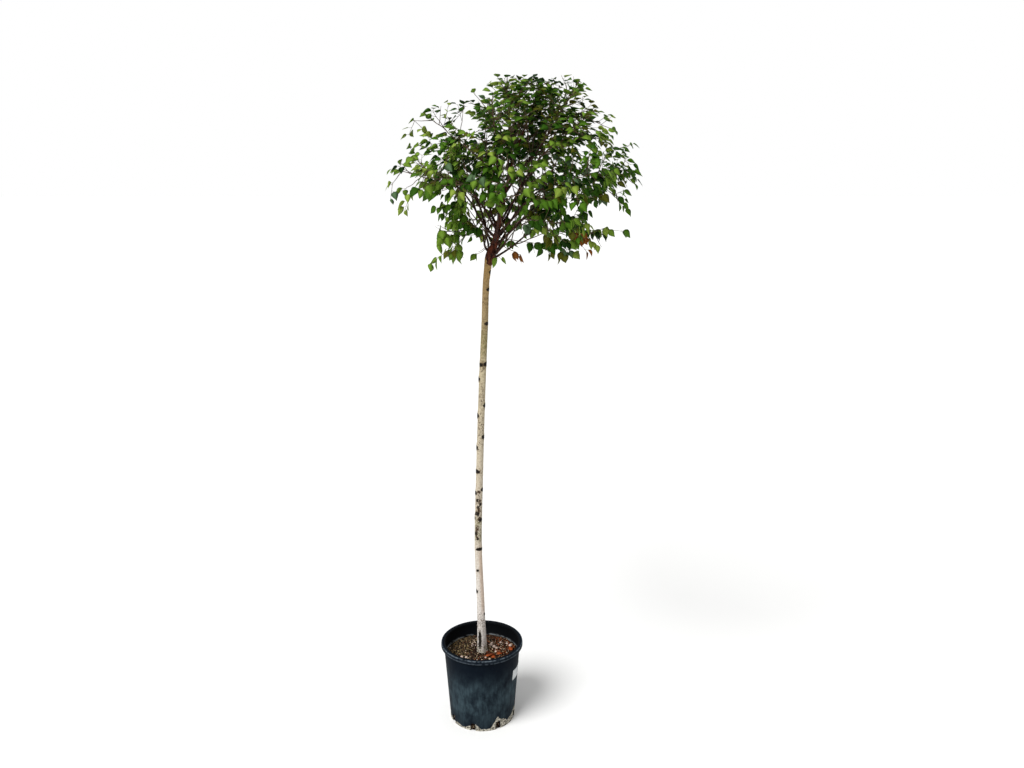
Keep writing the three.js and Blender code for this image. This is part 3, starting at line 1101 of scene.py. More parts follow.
@dataclass
class PottingSoil:
    """Compost in the pot, with bark chips, stones, straw and a few dead leaves on it."""

    pot: NurseryPot
    top: float = 225.0
    seat_radius: float = 34.0
    fall: float = 7.0
    bank: float = 2.6
    bank_to: Pair = (28.0, 18.0)
    wall_gap: float = 0.6
    clear_of_wall: float = 7.0
    clear_of_stem: float = 16.0
    drift_to_side: Pair = (-85.0, 30.0)
    lie: float = 0.4
    rings: int = 52
    columns: int = 150
    clod: float = 2.2
    crumb: float = 1.1
    grit_count: int = 12
    straw_count: int = 10
    straw_length: Pair = (14.0, 44.0)
    straw_radius: Pair = (0.75, 0.35)
    straw_from: float = 20.0
    straw_spread: float = 78.0
    straw_within: float = 106.0
    straw_lie: float = 2.6
    # Each row is a place, a size and a heading.
    dead_leaves: Rows = (
        (13, -38, 29, -1.35), (44, -44, 25, 1.0), (22, -26, 24, -1.9), (98, 6, 24, 0.4), (66, -14, 22, 2.3),
    )
    leaf_tilt: float = 0.35
    leaf_lie: float = 4.5
    # Each row is a place and a size.
    pebbles: Rows = (
        (-64, -35, 5.4), (-50, -39, 4.4), (28, 34, 5.6), (39, 26, 6.2), (47, 19, 4.2), (92, 44, 5.6),
        (81, 54, 4.6), (31, 52, 4.2), (60, 58, 4.4), (45, -6, 3.8), (13, -42, 3.4), (27, -50, 3.4),
    )
    chip_lengths: Rows = (
        (9, 4.2, 1.8), (6.5, 5, 2.2), (13, 3, 1.6), (5, 3.6, 2.6),
    )
    # Each row is a kind's name, its finish, its dark and light, how many there are, on which side most of
    # them lie (1 for the right, -1 for the left, 0 for neither), and their least and greatest scale.
    chip_kinds: tuple[tuple[str, str, str, str, int, int, Pair], ...] = (
        ("dark", "weathered_bark_chip", "#0a0504", "#24160f", 600, 0, (0.35, 0.95)),
        ("brown", "damp_bark_chip", "#3a2218", "#6a4433", 260, 0, (0.3, 0.75)),
        ("red", "fresh_bark_chip", "#6a3217", "#9c5630", 210, 1, (0.35, 0.9)),
        ("dry", "dry_bark_chip", "#75613f", "#ab966d", 150, -1, (0.25, 0.6)),
        ("pale", "sapwood_chip", "#bda286", "#ecd8bf", 130, 1, (0.25, 0.75)),
    )
    seed: int = 41

    @property
    def edge(self) -> float:
        """The radius at which the soil's top meets the wall."""
        return self.pot.outside(self.top) - self.pot.wall - self.wall_gap

    def level(self, radius: float) -> float:
        """Give the soil's mean height at a distance from the middle."""
        bank = self.bank * smoothstep(*self.bank_to, radius)
        return self.top + bank - self.fall * smoothstep(self.seat_radius, self.edge, radius)

    def surface(self, place: Vector) -> float:
        """Give the height of the crumbly surface at a place, in mm.

        Args:
            place: The place.

        Returns:
            The height.
        """
        lumps = noise.fractal(Vector((place.x, place.y, 3.0)) / 14.0, 0.8, 2.1, 6)
        grit = noise.noise(Vector((place.x, place.y, 9.0)) / 2.6)
        return self.level(place.xy.length) + self.clod * lumps + self.crumb * grit

    def build_ground(self) -> None:
        """Build the compost as one closed body with a crumbly top."""
        pot = self.pot
        rim = self.edge
        foot = pot.outside(pot.corner) - pot.wall - self.wall_gap
        bottom = pot.wall + 0.3
        tops = [(rim * i / self.rings, self.level(rim * i / self.rings)) for i in range(self.rings + 1)]
        half_way = ((rim + foot) / 2, (self.top + bottom) / 2)
        shape = spun([*tops, half_way, (foot, bottom), (0.0, bottom)], self.columns)
        for vert in shape.verts:
            if vert.co.z > (self.top - self.fall - 2) * MM:
                vert.co.z = self.surface(vert.co / MM) * MM
        bmesh.ops.recalc_face_normals(shape, faces=shape.faces[:])
        compost = BarkCompost("bark_compost", 0.95, 0.03).make()
        settle(piece_of(shape, "compost", compost), ["soil"])

    def chip(self, lengths: Triple, seed: int) -> Template:
        """Make an uneven splinter of bark.

        Args:
            lengths: Its size along X, Y and Z, in mm.
            seed: What makes it differ from the others.

        Returns:
            The splinter as a template.
        """
        shape = bmesh.new()
        bmesh.ops.create_cube(shape, size=1.0)
        bmesh.ops.bevel(
            shape, geom=shape.edges[:], offset=0.16, segments=1, profile=0.5, affect="EDGES", material=-1
        )
        bmesh.ops.scale(shape, verts=shape.verts[:], vec=lengths)
        for vert in shape.verts:
            vert.co += noise.noise_vector(vert.co / 3.0 + Vector((seed, 0, 0))) * 0.9
        return Template.of(shape)

    def stone(self, seed: int) -> Template:
        """Make a rounded stone with a radius of about 1.

        Args:
            seed: What makes it differ from the others.

        Returns:
            The stone as a template.
        """
        shape = bmesh.new()
        bmesh.ops.create_icosphere(shape, subdivisions=2, radius=1.0)
        for vert in shape.verts:
            vert.co *= 1 + 0.28 * noise.noise(vert.co * 1.3 + Vector((seed, 0, 0)))
            vert.co.z *= 0.7
        return Template.of(shape)

    def scatter(
        self,
        heap: Heap,
        templates: Sequence[Template],
        count: int,
        sizes: Pair,
        tilt: float,
        seed: int,
        side: int = 0,
    ) -> None:
        """Strew copies over the soil, clear of the stem.

        Args:
            heap: Where the copies go.
            templates: The shapes to choose from.
            count: How many copies.
            sizes: The least and the greatest scale.
            tilt: The most that one leans, in radians.
            seed: Where the random numbers start.
            side: 1 for most on the right, -1 for most on the left, 0 for all over.
        """
        rng = np.random.default_rng(seed)
        edge = self.pot.outside(self.top) - self.pot.wall - self.clear_of_wall
        for i in range(count):
            radius = math.sqrt(lerp((self.clear_of_stem / edge) ** 2, 1.0, rng.random())) * edge
            turn = rng.random() * FULL_TURN
            place = Vector((radius * math.cos(turn), radius * math.sin(turn), 0.0))
            if side * place.x < lerp(*self.drift_to_side, rng.random()) * abs(side):
                place.x *= -1
            place.z = self.surface(place) + self.lie
            spin = Matrix.Rotation(rng.random() * FULL_TURN, 3, "Z")
            lean = Matrix.Rotation((2 * rng.random() - 1) * tilt, 3, heading(rng.random() * FULL_TURN, 0.0))
            turned = np.array(lean @ spin) * lerp(*sizes, rng.random())
            template = templates[i % len(templates)]
            heap.add(template, template.points @ turned.T + np.array(place))

    def build_chips(self) -> None:
        """Build the bark chips, a piece for each kind."""
        shapes = [self.chip(lengths, seed) for seed, lengths in enumerate(self.chip_lengths)]
        for kind, finish, dark, light, count, side, sizes in self.chip_kinds:
            heap = Heap()
            self.scatter(heap, shapes, count, sizes, 0.6, self.seed + count, side)
            material = Mottled(finish, 0.9, 0.15, stops=((0.35, dark), (0.65, light))).make()
            settle(heap.build(f"bark_chips_{kind}", material))

    def build_stones(self) -> None:
        """Build the strewn grit and the larger stones that show."""
        heap = Heap()
        shapes = [self.stone(i) for i in range(3)]
        self.scatter(heap, shapes, self.grit_count, (1.4, 2.6), 0.4, self.seed + 7)
        for i, (x, y, size) in enumerate(self.pebbles):
            shape = shapes[i % len(shapes)]
            place = Vector((x, y, 0.0))
            place.z = self.surface(place) + self.lie * size
            heap.add(shape, shape.points * size + np.array(place))
        grit = Mottled("quartz_grit", 0.7, 0.3, stops=((0.3, "#a98d80"), (0.7, "#dccabd"))).make()
        settle(heap.build("stones", grit))

    def build_dead_leaves(self) -> None:
        """Build the dead leaves, which lie almost flat."""
        heap = Heap()
        tilt = Matrix.Rotation(self.leaf_tilt, 3, "X")
        blade = LeafShape().template(0.1, 0.25, 0.4)
        for x, y, size, turn in self.dead_leaves:
            spin = np.array(Matrix.Rotation(turn, 3, "Z") @ tilt)
            place = np.array((x, y, self.level(math.hypot(x, y)) + self.leaf_lie))
            heap.add(blade, (blade.points * size) @ spin.T + place)
        rust = Mottled("dead_leaf", 0.7, 0.2, stops=((0.35, "#6f3012"), (0.65, "#a54c1b")), patch=9.0).make()
        settle(heap.build("dead_leaves", rust))

    def build_straw(self) -> None:
        """Build the curved bits of straw."""
        heap = Heap()
        steps = 5
        straw = prism(5, steps + 1)
        rng = np.random.default_rng(self.seed + 11)
        for _ in range(self.straw_count):
            radius = self.straw_from + self.straw_spread * rng.random()
            turn, aim = rng.random() * FULL_TURN, rng.random() * FULL_TURN
            start = Vector((radius * math.cos(turn), radius * math.sin(turn), 0.0))
            length = lerp(*self.straw_length, rng.random())
            line = []
            for i in range(steps + 1):
                point = start + heading(aim + 0.5 * i / steps, 0.0) * (length * (i / steps - 0.5))
                point.xy *= min(1.0, self.straw_within / max(point.xy.length, 1.0))
                point.z = self.level(point.xy.length) + self.straw_lie + 1.2 * math.sin(i)
                line.append(point)
            radii = [lerp(*self.straw_radius, i / steps) for i in range(steps + 1)]
            heap.add(straw, bent(straw, line, radii))
        dry = Mottled("dry_straw", 0.8, 0.2, stops=((0.3, "#75654a"), (0.7, "#a8966c")), patch=6.0).make()
        settle(heap.build("straw", dry))

    def build(self) -> None:
        """Build the ground and what lies on it."""
        self.build_ground()
        self.build_chips()
        self.build_stones()
        self.build_dead_leaves()
        self.build_straw()


# The tree


def near(values: np.ndarray, spots: Sequence[Pair]) -> np.ndarray:
    """Tell how near values are to any of some spots.

    Args:
        values: The values.
        spots: The middle and the half width of each spot.

    Returns:
        A share for each value: 1 at a spot's middle, and less away from it.
    """
    return np.max([np.exp(-(((values - middle) / half) ** 2)) for middle, half in spots], axis=0)


@dataclass(frozen=True)
class Scar:
    """A mark on the stem where a side branch was taken off: a lip of bark round a dark hollow."""

    height: float
    facing_deg: float
    half_turn_deg: float
    half_height: float
    swell: float


@dataclass
class ClearStem:
    """The stem from the soil to the fork, with its flare, lean, graft and scars."""

    stations: Rows = (
        (0, 0, 225.3), (0, 0, 240), (-3, 1, 400), (-9, 3, 600), (-3, 4, 830),
        (6, 3, 1080), (16, 1, 1290), (27, 0, 1480), (51, -1, 1560), (68, 0, 1645),
    )
    radius_low: float = 11.9
    radius_high: float = 9.2
    flare: float = 5.0
    flare_reach: float = 65.0
    graft: float = 1512.0
    graft_swell: float = 5.5
    graft_reach: float = 26.0
    scion_below: float = 18.0
    fork_radius: float = 6.8
    bark: float = 0.4
    sides: int = 40
    ring_step: float = 2.6
    ridges: int = 5
    scars: tuple[Scar, ...] = (
        Scar(1463, -20, 40, 9, 2.8), Scar(1412, -40, 44, 8, 1.8), Scar(1310, -52, 46, 7, 1.4),
        Scar(1187, -50, 38, 10, 2.8), Scar(1184, -132, 40, 8, 2.6), Scar(1139, 200, 38, 9, 4.4),
        Scar(1057, -28, 40, 9, 2.6), Scar(1024, 208, 44, 9, 4.0), Scar(957, -36, 42, 9, 2.2),
        Scar(922, 208, 40, 9, 3.6), Scar(845, 226, 60, 9, 2.4), Scar(786, -38, 36, 8, 1.9),
        Scar(774, 208, 36, 8, 3.4), Scar(750, -118, 22, 7, 0.9), Scar(738, -62, 26, 8, 1.0),
        Scar(728, -100, 22, 6, 0.8), Scar(706, -112, 44, 9, 1.8), Scar(686, -55, 40, 8, 1.6),
        Scar(690, 196, 30, 7, 2.0), Scar(640, -128, 26, 9, 0.9), Scar(622, -95, 18, 7, 0.7),
        Scar(587, -62, 78, 7, 2.0), Scar(514, -110, 26, 6, 1.2), Scar(441, -150, 36, 9, 2.2),
        Scar(362, -30, 22, 5, 1.1), Scar(275, -113, 25, 42, 1.3),
    )
    scar_flatness: float = 1.15
    scar_reach: float = 3.0
    back_scars: int = 14
    back_scars_from: float = 330.0
    round_foot: float = 34.0
    # Each row is the middle and the half width of a range of heights: of algae, of brown blotches and of
    # dense lenticels.
    blooms: Rows = ((1250, 40), (672, 22), (632, 24), (236, 18))
    blotched: Rows = ((1380, 14), (1256, 52), (1184, 16), (700, 46), (845, 12))
    speckled: Rows = (
        (1085, 50), (980, 60), (745, 34), (636, 30), (240, 22), (335, 40), (1182, 22),
    )
    # Each row is a place's height, half its own height, its heading and half its width in degrees.
    fissured: Rows = (
        (1184, 9, -95, 70), (778, 9, -90, 42), (748, 14, -80, 42), (716, 20, -88, 46), (688, 12, -75, 50),
        (655, 22, -110, 42), (628, 13, -105, 38), (588, 8, -80, 60), (844, 8, -130, 60),
        (1010, 26, 80, 60), (850, 34, 100, 60), (560, 22, 60, 60), (420, 26, 110, 50),
    )
    course: Course = field(init=False)

    def __post_init__(self) -> None:
        """Lay the centre line, and add the scars that the front doesn't show."""
        self.course = Course.through([Vector(p) for p in self.stations])
        roll = dice(977)
        low = self.back_scars_from
        step = (self.graft - low) / self.back_scars
        self.scars += tuple(
            Scar(low + step * (i + roll()), 45 + 90 * roll(), 18 + 20 * roll(), 4 + 4 * roll(), 1 + roll())
            for i in range(self.back_scars)
        )

    @property
    def foot(self) -> float:
        """The height of the stem's flat cut."""
        return self.stations[0][2]

    @property
    def tip(self) -> float:
        """The height of the fork."""
        return self.stations[-1][2]

    def radius(self, height: float) -> float:
        """Give the stem's mean radius at a height, as the solid has it.

        Args:
            height: The height.

        Returns:
            The radius.
        """
        grown = min((height - self.foot) / (self.graft - self.foot), 1.0)
        shaft = lerp(self.radius_low, self.radius_high, grown)
        flare = self.flare * math.exp(-(height - self.foot) / self.flare_reach)
        swell = self.graft_swell * bell((height - self.graft) / self.graft_reach)
        shrink = smoothstep(self.graft, self.tip, height) * (self.radius_high - self.fork_radius)
        return shaft + flare + swell + self.bark - shrink

    def relief(self, height: float, turn: float) -> Pair:
        """Give the bark's relief at a place on the stem.

        Args:
            height: The height in mm.
            turn: The heading in radians.

        Returns:
            How far the bark stands out in mm, and how much of a scar's dark it has.
        """
        # The papery skin all over, the flare's ridges at the foot, and the lumpy bark above the graft.
        round_stem = Vector((math.cos(turn) * 9, math.sin(turn) * 9, height))
        banded = Vector((round_stem.x / 6, round_stem.y / 6, height / 2.2))
        out = 0.32 * noise.fractal(round_stem / 9.0, 0.8, 2.0, 5) + 0.16 * noise.noise(banded)
        foot = math.exp(-(height - self.foot) / self.round_foot)
        out += foot * (1.5 * math.cos(self.ridges * turn + 0.6) + 0.6 * noise.noise(round_stem / 5.0))
        above = smoothstep(self.graft - 30, self.graft, height)
        out += above * (1.0 * math.cos(3 * turn + height / 30) + 2.2 * noise.noise(round_stem / 11.0))
        # Each scar is a raised lip of bark round a sunk dark middle.
        dark = 0.0
        for scar in self.scars:
            up = (height - scar.height) / scar.half_height
            if abs(up) > self.scar_reach:
                continue
            aside = apart(turn, math.radians(scar.facing_deg)) / math.radians(scar.half_turn_deg)
            ragged = 1 + 0.9 * noise.noise(round_stem / 2.6)
            off = (up * up + aside * aside) * ragged
            out += scar.swell * (math.exp(-off * 0.9) - 0.75 * math.exp(-off * 3.2))
            inner = ((self.scar_flatness * up) ** 2 + aside * aside) * ragged
            dark = max(dark, smoothstep(1.25, 0.3, inner))
        return out, dark

    def build(self) -> None:
        """Build the bark as a mesh with its relief."""
        rings = int(self.course.length / self.ring_step)
        tube = prism(self.sides, rings)
        line = [self.course.at(i / (rings - 1)) for i in range(rings)]
        points = bent(tube, line, [1.0] * rings)
        darks = []
        for i, (point, ring) in enumerate(zip(points, tube.rings(rings))):
            middle = line[ring]
            side = Vector(point) - middle
            out, dark = self.relief(middle.z, math.atan2(side.y, side.x))
            points[i] = middle + side * (self.radius(middle.z) + out)
            darks.append(dark)
        heap = Heap()
        heap.add(tube, points)
        bark = BirchBark("papery_birch_bark", 0.8, 0.2).make()
        scion = YoungBark("scion_bark", 0.6, 0.1, dark="#1d0806", light="#63301d", dot="#8c6a58").make()
        stem = heap.build("stem_bark", bark)
        stem.data.materials.append(scion)
        self.paint(stem.data, darks)
        settle(stem, ["stem"])

    def paint(self, mesh: bpy.types.Mesh, darks: Sequence[float]) -> None:
        """Mark the bark's aged, green and fissured places and its scars, and give the scion its own bark.

        Args:
            mesh: The stem's mesh.
            darks: How much of a scar's dark each point has.
        """
        heights = np.array([v.co.z / MM for v in mesh.vertices])
        mark(mesh, "scar", darks)
        mark(mesh, "bloom", 0.7 * near(heights, self.blooms))
        mark(mesh, "specks", 0.15 * near(heights, self.speckled))
        mark(mesh, "age", np.interp(heights, (800, 1240), (0.3, 0.6)) + 0.45 * near(heights, self.blotched))
        rough = np.zeros(len(heights))
        turns = np.array([math.atan2(v.normal.y, v.normal.x) for v in mesh.vertices])
        for height, half, facing, spread in self.fissured:
            aside = np.remainder(np.degrees(turns) - facing + 180, 360) - 180
            rough = np.maximum(rough, np.exp(-(((heights - height) / half) ** 2) - (aside / spread) ** 2))
        mark(mesh, "rough", rough)
        # The side facing +X, away from the key light, low on the stem, takes a warmer, darker tone: partly
        # pinkish bark, partly painted shade.
        mark(mesh, "warm_and_shade", [
            0.42 * smoothstep(-0.15, 0.45, v.normal.x) * smoothstep(650, 530, z) * smoothstep(345, 395, z)
            for v, z in zip(mesh.vertices, heights)
        ])
        for face in mesh.polygons:
            ragged = 22 * noise.noise(Vector(face.center) * per_metre(16.0))
            face.material_index = int(face.center.z / MM > self.graft - self.scion_below + ragged)


@dataclass(frozen=True)
class Tier:
    """A ring of foliage masses round the crown's axis, and how their boughs leave and arrive."""

    name: str
    places: int
    left_open: tuple[int, ...]
    first_deg: float
    axis_x: float
    ring: float
    height: float
    dip: float
    wide: float
    tall: float
    root: float
    root_step: float
    base_radius: float
    leave_deg: float
    arrive_deg: float
    lift: float


@dataclass
class Mass:
    """One mass of foliage: its own space, the bough that carries it, and the seed that it grows by."""

    name: str
    tier: Tier
    centre: Vector
    wide: float
    tall: float
    root: float
    seed: float
    bough: Course | None = None

    def depth(self, point: Vector) -> float:
        """Tell how far out a point lies: 0 in the middle of the mass, 1 on its outside."""
        away = point - self.centre
        return math.hypot(away.x / self.wide, away.y / self.wide, away.z / self.tall)


@dataclass
class Shoot:
    """A thin shoot that starts one way and bends up or down by its curl."""

    start: Vector
    direction: Vector
    length: float
    radius: float
    tip_radius: float
    leafless: float
    curl: float = 0.0

    def at(self, share: float) -> Vector:
        """Give the point at a share of the length."""
        risen = self.curl * self.length * share * share
        return self.start + self.direction * (self.length * share) + UP * risen

    def way(self, share: float) -> Vector:
        """Give the direction at a share of the length."""
        return (self.direction + UP * (2 * self.curl * share)).normalized()

    def thick(self, share: float) -> float:
        """Give the radius at a share of the length."""
        return lerp(self.radius, self.tip_radius, share)


@dataclass
class Crown:
    """The layout of the crown: where each mass is, the space that it holds, and its bough."""

    stem: ClearStem
    seed: int = 2311
    place_spread: float = 10.0
    size_spread: float = 0.06
    space_gap: float = 1.5
    space_step: float = 3.0
    root_stride: int = 3
    entry_share: float = 0.72
    leave_share: float = 0.38
    arrive_share: float = 0.3
    middle: Vector = field(default_factory=lambda: Vector((120.0, 0.0, 1720.0)))
    tiers: tuple[Tier, ...] = (
        Tier("skirt", 6, (4,), 5, 98, 178, 1622, 42, 112, 92, 1498, 5, 4.8, 14, -6, -0.12),
        Tier("middle", 8, (), 0, 92, 252, 1738, 12, 116, 104, 1534, 7, 5.4, 38, 12, 0.0),
        Tier("upper", 5, (), 36, 112, 194, 1862, 8, 130, 102, 1583, 9, 5.2, 52, 36, 0.05),
        Tier("crest", 4, (), 45, 165, 112, 1928, 0, 112, 94, 1690, 22, 4.4, 46, 58, 0.1),
        Tier("top", 1, (), 0, 168, 0, 1958, 0, 86, 74, 0, 0, 6.3, 0, 70, 0.1),
    )
    masses: list[Mass] = field(init=False)

    def __post_init__(self) -> None:
        """Lay out the masses and their boughs."""
        roll = dice(self.seed)
        self.masses = [mass for tier in self.tiers for mass in self.lay_tier(tier, roll)]
        leader = self.masses[-1]
        way = self.stem.course.way(1.0)
        leader.bough = self.lay_bough(leader, self.stem.course.at(1.0), way)
        for mass in self.masses[:-1]:
            carrier = leader.bough if mass.tier.name == "crest" else self.stem.course
            root = carrier.at_height(mass.root)
            across = mass.centre - root
            leave = heading(math.atan2(across.y, across.x), math.radians(mass.tier.leave_deg))
            mass.bough = self.lay_bough(mass, root, leave)

    def lay_tier(self, tier: Tier, roll: Roll) -> Iterable[Mass]:
        """Lay out one tier's masses.

        Args:
            tier: The tier.
            roll: The crown's random numbers.

        Returns:
            Its masses in order.
        """
        def jitter(spread: float) -> float:
            """Give a random amount, up or down."""
            return (2 * roll() - 1) * spread

        places = [place for place in range(tier.places) if place not in tier.left_open]
        ringed = 1.0 if tier.ring else 0.0
        for i, place in enumerate(places):
            turn = math.radians(tier.first_deg + place * 360 / tier.places)
            out = tier.ring + jitter(self.place_spread)
            size = 1 + jitter(self.size_spread)
            centre = Vector((
                tier.axis_x + out * math.cos(turn) * ringed,
                out * math.sin(turn) * ringed,
                tier.height - tier.dip * math.cos(turn) ** 2 + jitter(self.place_spread),
            ))
            root = tier.root + ((i * self.root_stride) % len(places)) * tier.root_step
            seed = self.seed + tier.height + i * GOLDEN_DEG
            yield Mass(f"{tier.name}_{i + 1}", tier, centre, tier.wide * size, tier.tall * size, root, seed)

    def lay_bough(self, mass: Mass, root: Vector, leave: Vector) -> Course:
        """Lay a bough's centre line from its root to its mass.

        Args:
            mass: The mass that it carries.
            root: Where it starts.
            leave: The way that it leaves.

        Returns:
            The bough's course.
        """
        across = mass.centre - root
        outward = heading(math.atan2(across.y, across.x), math.radians(mass.tier.arrive_deg))
        entry = mass.centre - outward * (self.entry_share * mass.wide)
        span = (entry - root).length
        into = entry - outward * (span * self.arrive_share)
        return Course.bezier(root, root + leave * (span * self.leave_share), into, entry)

    def holds(self, mass: Mass, point: Vector) -> bool:
        """Tell whether a point lies in a mass's own space, less what is nearer to another mass.

        Args:
            mass: The mass.
            point: The point.

        Returns:
            Whether the mass holds it.
        """
        if mass.depth(point) > 1:
            return False
        away = point - mass.centre
        for other in self.masses:
            if other is mass:
                continue
            across = other.centre - mass.centre
            distance = across.length
            border = distance * mass.wide / (mass.wide + other.wide)
            if away.dot(across) / distance >= border - self.space_gap:
                return False
        return True

    def reach(self, mass: Mass, start: Vector, direction: Vector) -> float:
        """Measure how far a straight line runs inside a mass's space.

        Args:
            mass: The mass.
            start: Where the line starts.
            direction: The way that it goes.

        Returns:
            The length.
        """
        reach = 0.0
        while self.holds(mass, start + direction * (reach + self.space_step)):
            reach += self.space_step
        return reach


@dataclass
class Boughs:
    """The bark of the boughs: a tapering limb each, with collars, joints and a little waver."""

    crown: Crown
    sides: int = 12
    ring_step: float = 4.5
    joint_step: float = 27.0
    joint_half: float = 2.6
    joint_swell: float = 0.45
    waver: float = 5.5
    waver_step: float = 42.0
    collar_reach: float = 12.0
    root_collar: float = 1.8
    slimmer: float = 0.72
    tip_radius: float = 1.9

    def radius(self, mass: Mass, share: float) -> float:
        """Give a bough's mean radius at a share of its length.

        Args:
            mass: The mass that it carries.
            share: The share.

        Returns:
            The radius.
        """
        collar = self.root_collar * math.exp(-share * mass.bough.length / self.collar_reach)
        base = mass.tier.base_radius * (self.slimmer if mass.tier.root else 1.0)
        return lerp(base, self.tip_radius, share**0.8) + collar

    def place(self, mass: Mass, share: float) -> Vector:
        """Give the point at a share of a bough's length, with its waver.

        Args:
            mass: The mass that it carries.
            share: The share.

        Returns:
            The point.
        """
        point = mass.bough.at(share)
        sway = noise.noise_vector(point / self.waver_step + Vector((mass.seed, 0, 0)))
        return point + sway * self.waver * math.sin(math.pi * share)

    def build_tier(self, tier: Tier) -> None:
        """Build the boughs of one tier as one piece.

        Args:
            tier: The tier.
        """
        heap = Heap()
        masses = [mass for mass in self.crown.masses if mass.tier is tier]
        for mass in masses:
            rings = max(int(mass.bough.length / self.ring_step), 8)
            tube = prism(self.sides, rings)
            line, radii = [], []
            for i in range(rings):
                share = i / (rings - 1)
                line.append(self.place(mass, share))
                joint = bell(math.remainder(share * mass.bough.length, self.joint_step) / self.joint_half)
                radii.append(self.radius(mass, share) + self.joint_swell * joint)
            points = bent(tube, line, radii)
            for i, (point, ring) in enumerate(zip(points, tube.rings(rings))):
                middle = line[ring]
                side = Vector(point) - middle
                rough = 1 + 0.07 * noise.fractal(Vector(point) / 6.0, 0.8, 2.0, 3)
                points[i] = middle + side * rough
            heap.add(tube, points)
        # Boughs below the top tier keep the default tones, darker than the leader's, as painted shade inside
        # the crown.
        tones = {} if tier.root else {"dark": "#1d0806", "light": "#6a331c"}
        bark = YoungBark(f"young_birch_bark_{tier.name}", 0.62, 0.15, **tones).make()
        nodes = [f"bough_{mass.name}" for mass in masses]
        settle(heap.build(f"boughs_{tier.name}", bark), nodes)

    def build(self) -> None:
        """Build every tier's boughs."""
        for tier in self.crown.tiers:
            self.build_tier(tier)


@dataclass
class LeafShape:
    """The outline of a birch leaf: round at the base, widest below the middle and drawn out to its tip."""

    # Each row is a share of the length and half the width there.
    rows: Rows = (
        (0.0, 0.0), (0.08, 0.21), (0.22, 0.35), (0.37, 0.38), (0.51, 0.33), (0.66, 0.24), (0.82, 0.11),
        (1.0, 0.0),
    )
    thick: float = 0.012

    def template(self, fold: float, droop: float, twist: float) -> Template:
        """Make a closed blade whose length is 1, with its root at the origin and its tip along +Y.

        Args:
            fold: How much the sides rise from the midrib.
            droop: How far the tip hangs below the root's plane.
            twist: How far the tip turns round the midrib, in radians.

        Returns:
            The blade as a template.
        """
        last = len(self.rows) - 1
        shape = bmesh.new()
        bmesh.ops.create_grid(shape, x_segments=2, y_segments=last, size=0.5)
        for vert in shape.verts:
            along, half = self.rows[round((vert.co.y + 0.5) * last)]
            across = 2 * vert.co.x * half
            lifted = fold * abs(across) - droop * along * along
            turn = twist * along
            vert.co = Vector((across * math.cos(turn), along, lifted + across * math.sin(turn)))
        bmesh.ops.remove_doubles(shape, verts=shape.verts[:], dist=MERGED)
        under = bmesh.ops.duplicate(shape, geom=shape.verts[:] + shape.edges[:] + shape.faces[:])["geom"]
        faces = [item for item in under if isinstance(item, bmesh.types.BMFace)]
        bmesh.ops.reverse_faces(shape, faces=faces)
        for vert in {v for f in faces for v in f.verts}:
            if not vert.is_boundary:
                vert.co.z -= self.thick
        bmesh.ops.remove_doubles(shape, verts=shape.verts[:], dist=MERGED)
        return Template.of(shape)


@dataclass(frozen=True)
class Inlet:
    """A part of the crown's outline that is drawn in: how much, and the ranges in which it sets in."""

    share: float
    across: Pair
    up: Pair

    def at(self, away: Vector) -> float:
        """Tell how much the outline is drawn in at a place off the crown's middle."""
        return self.share * (smoothstep(*self.across, away.x) * smoothstep(*self.up, away.z))


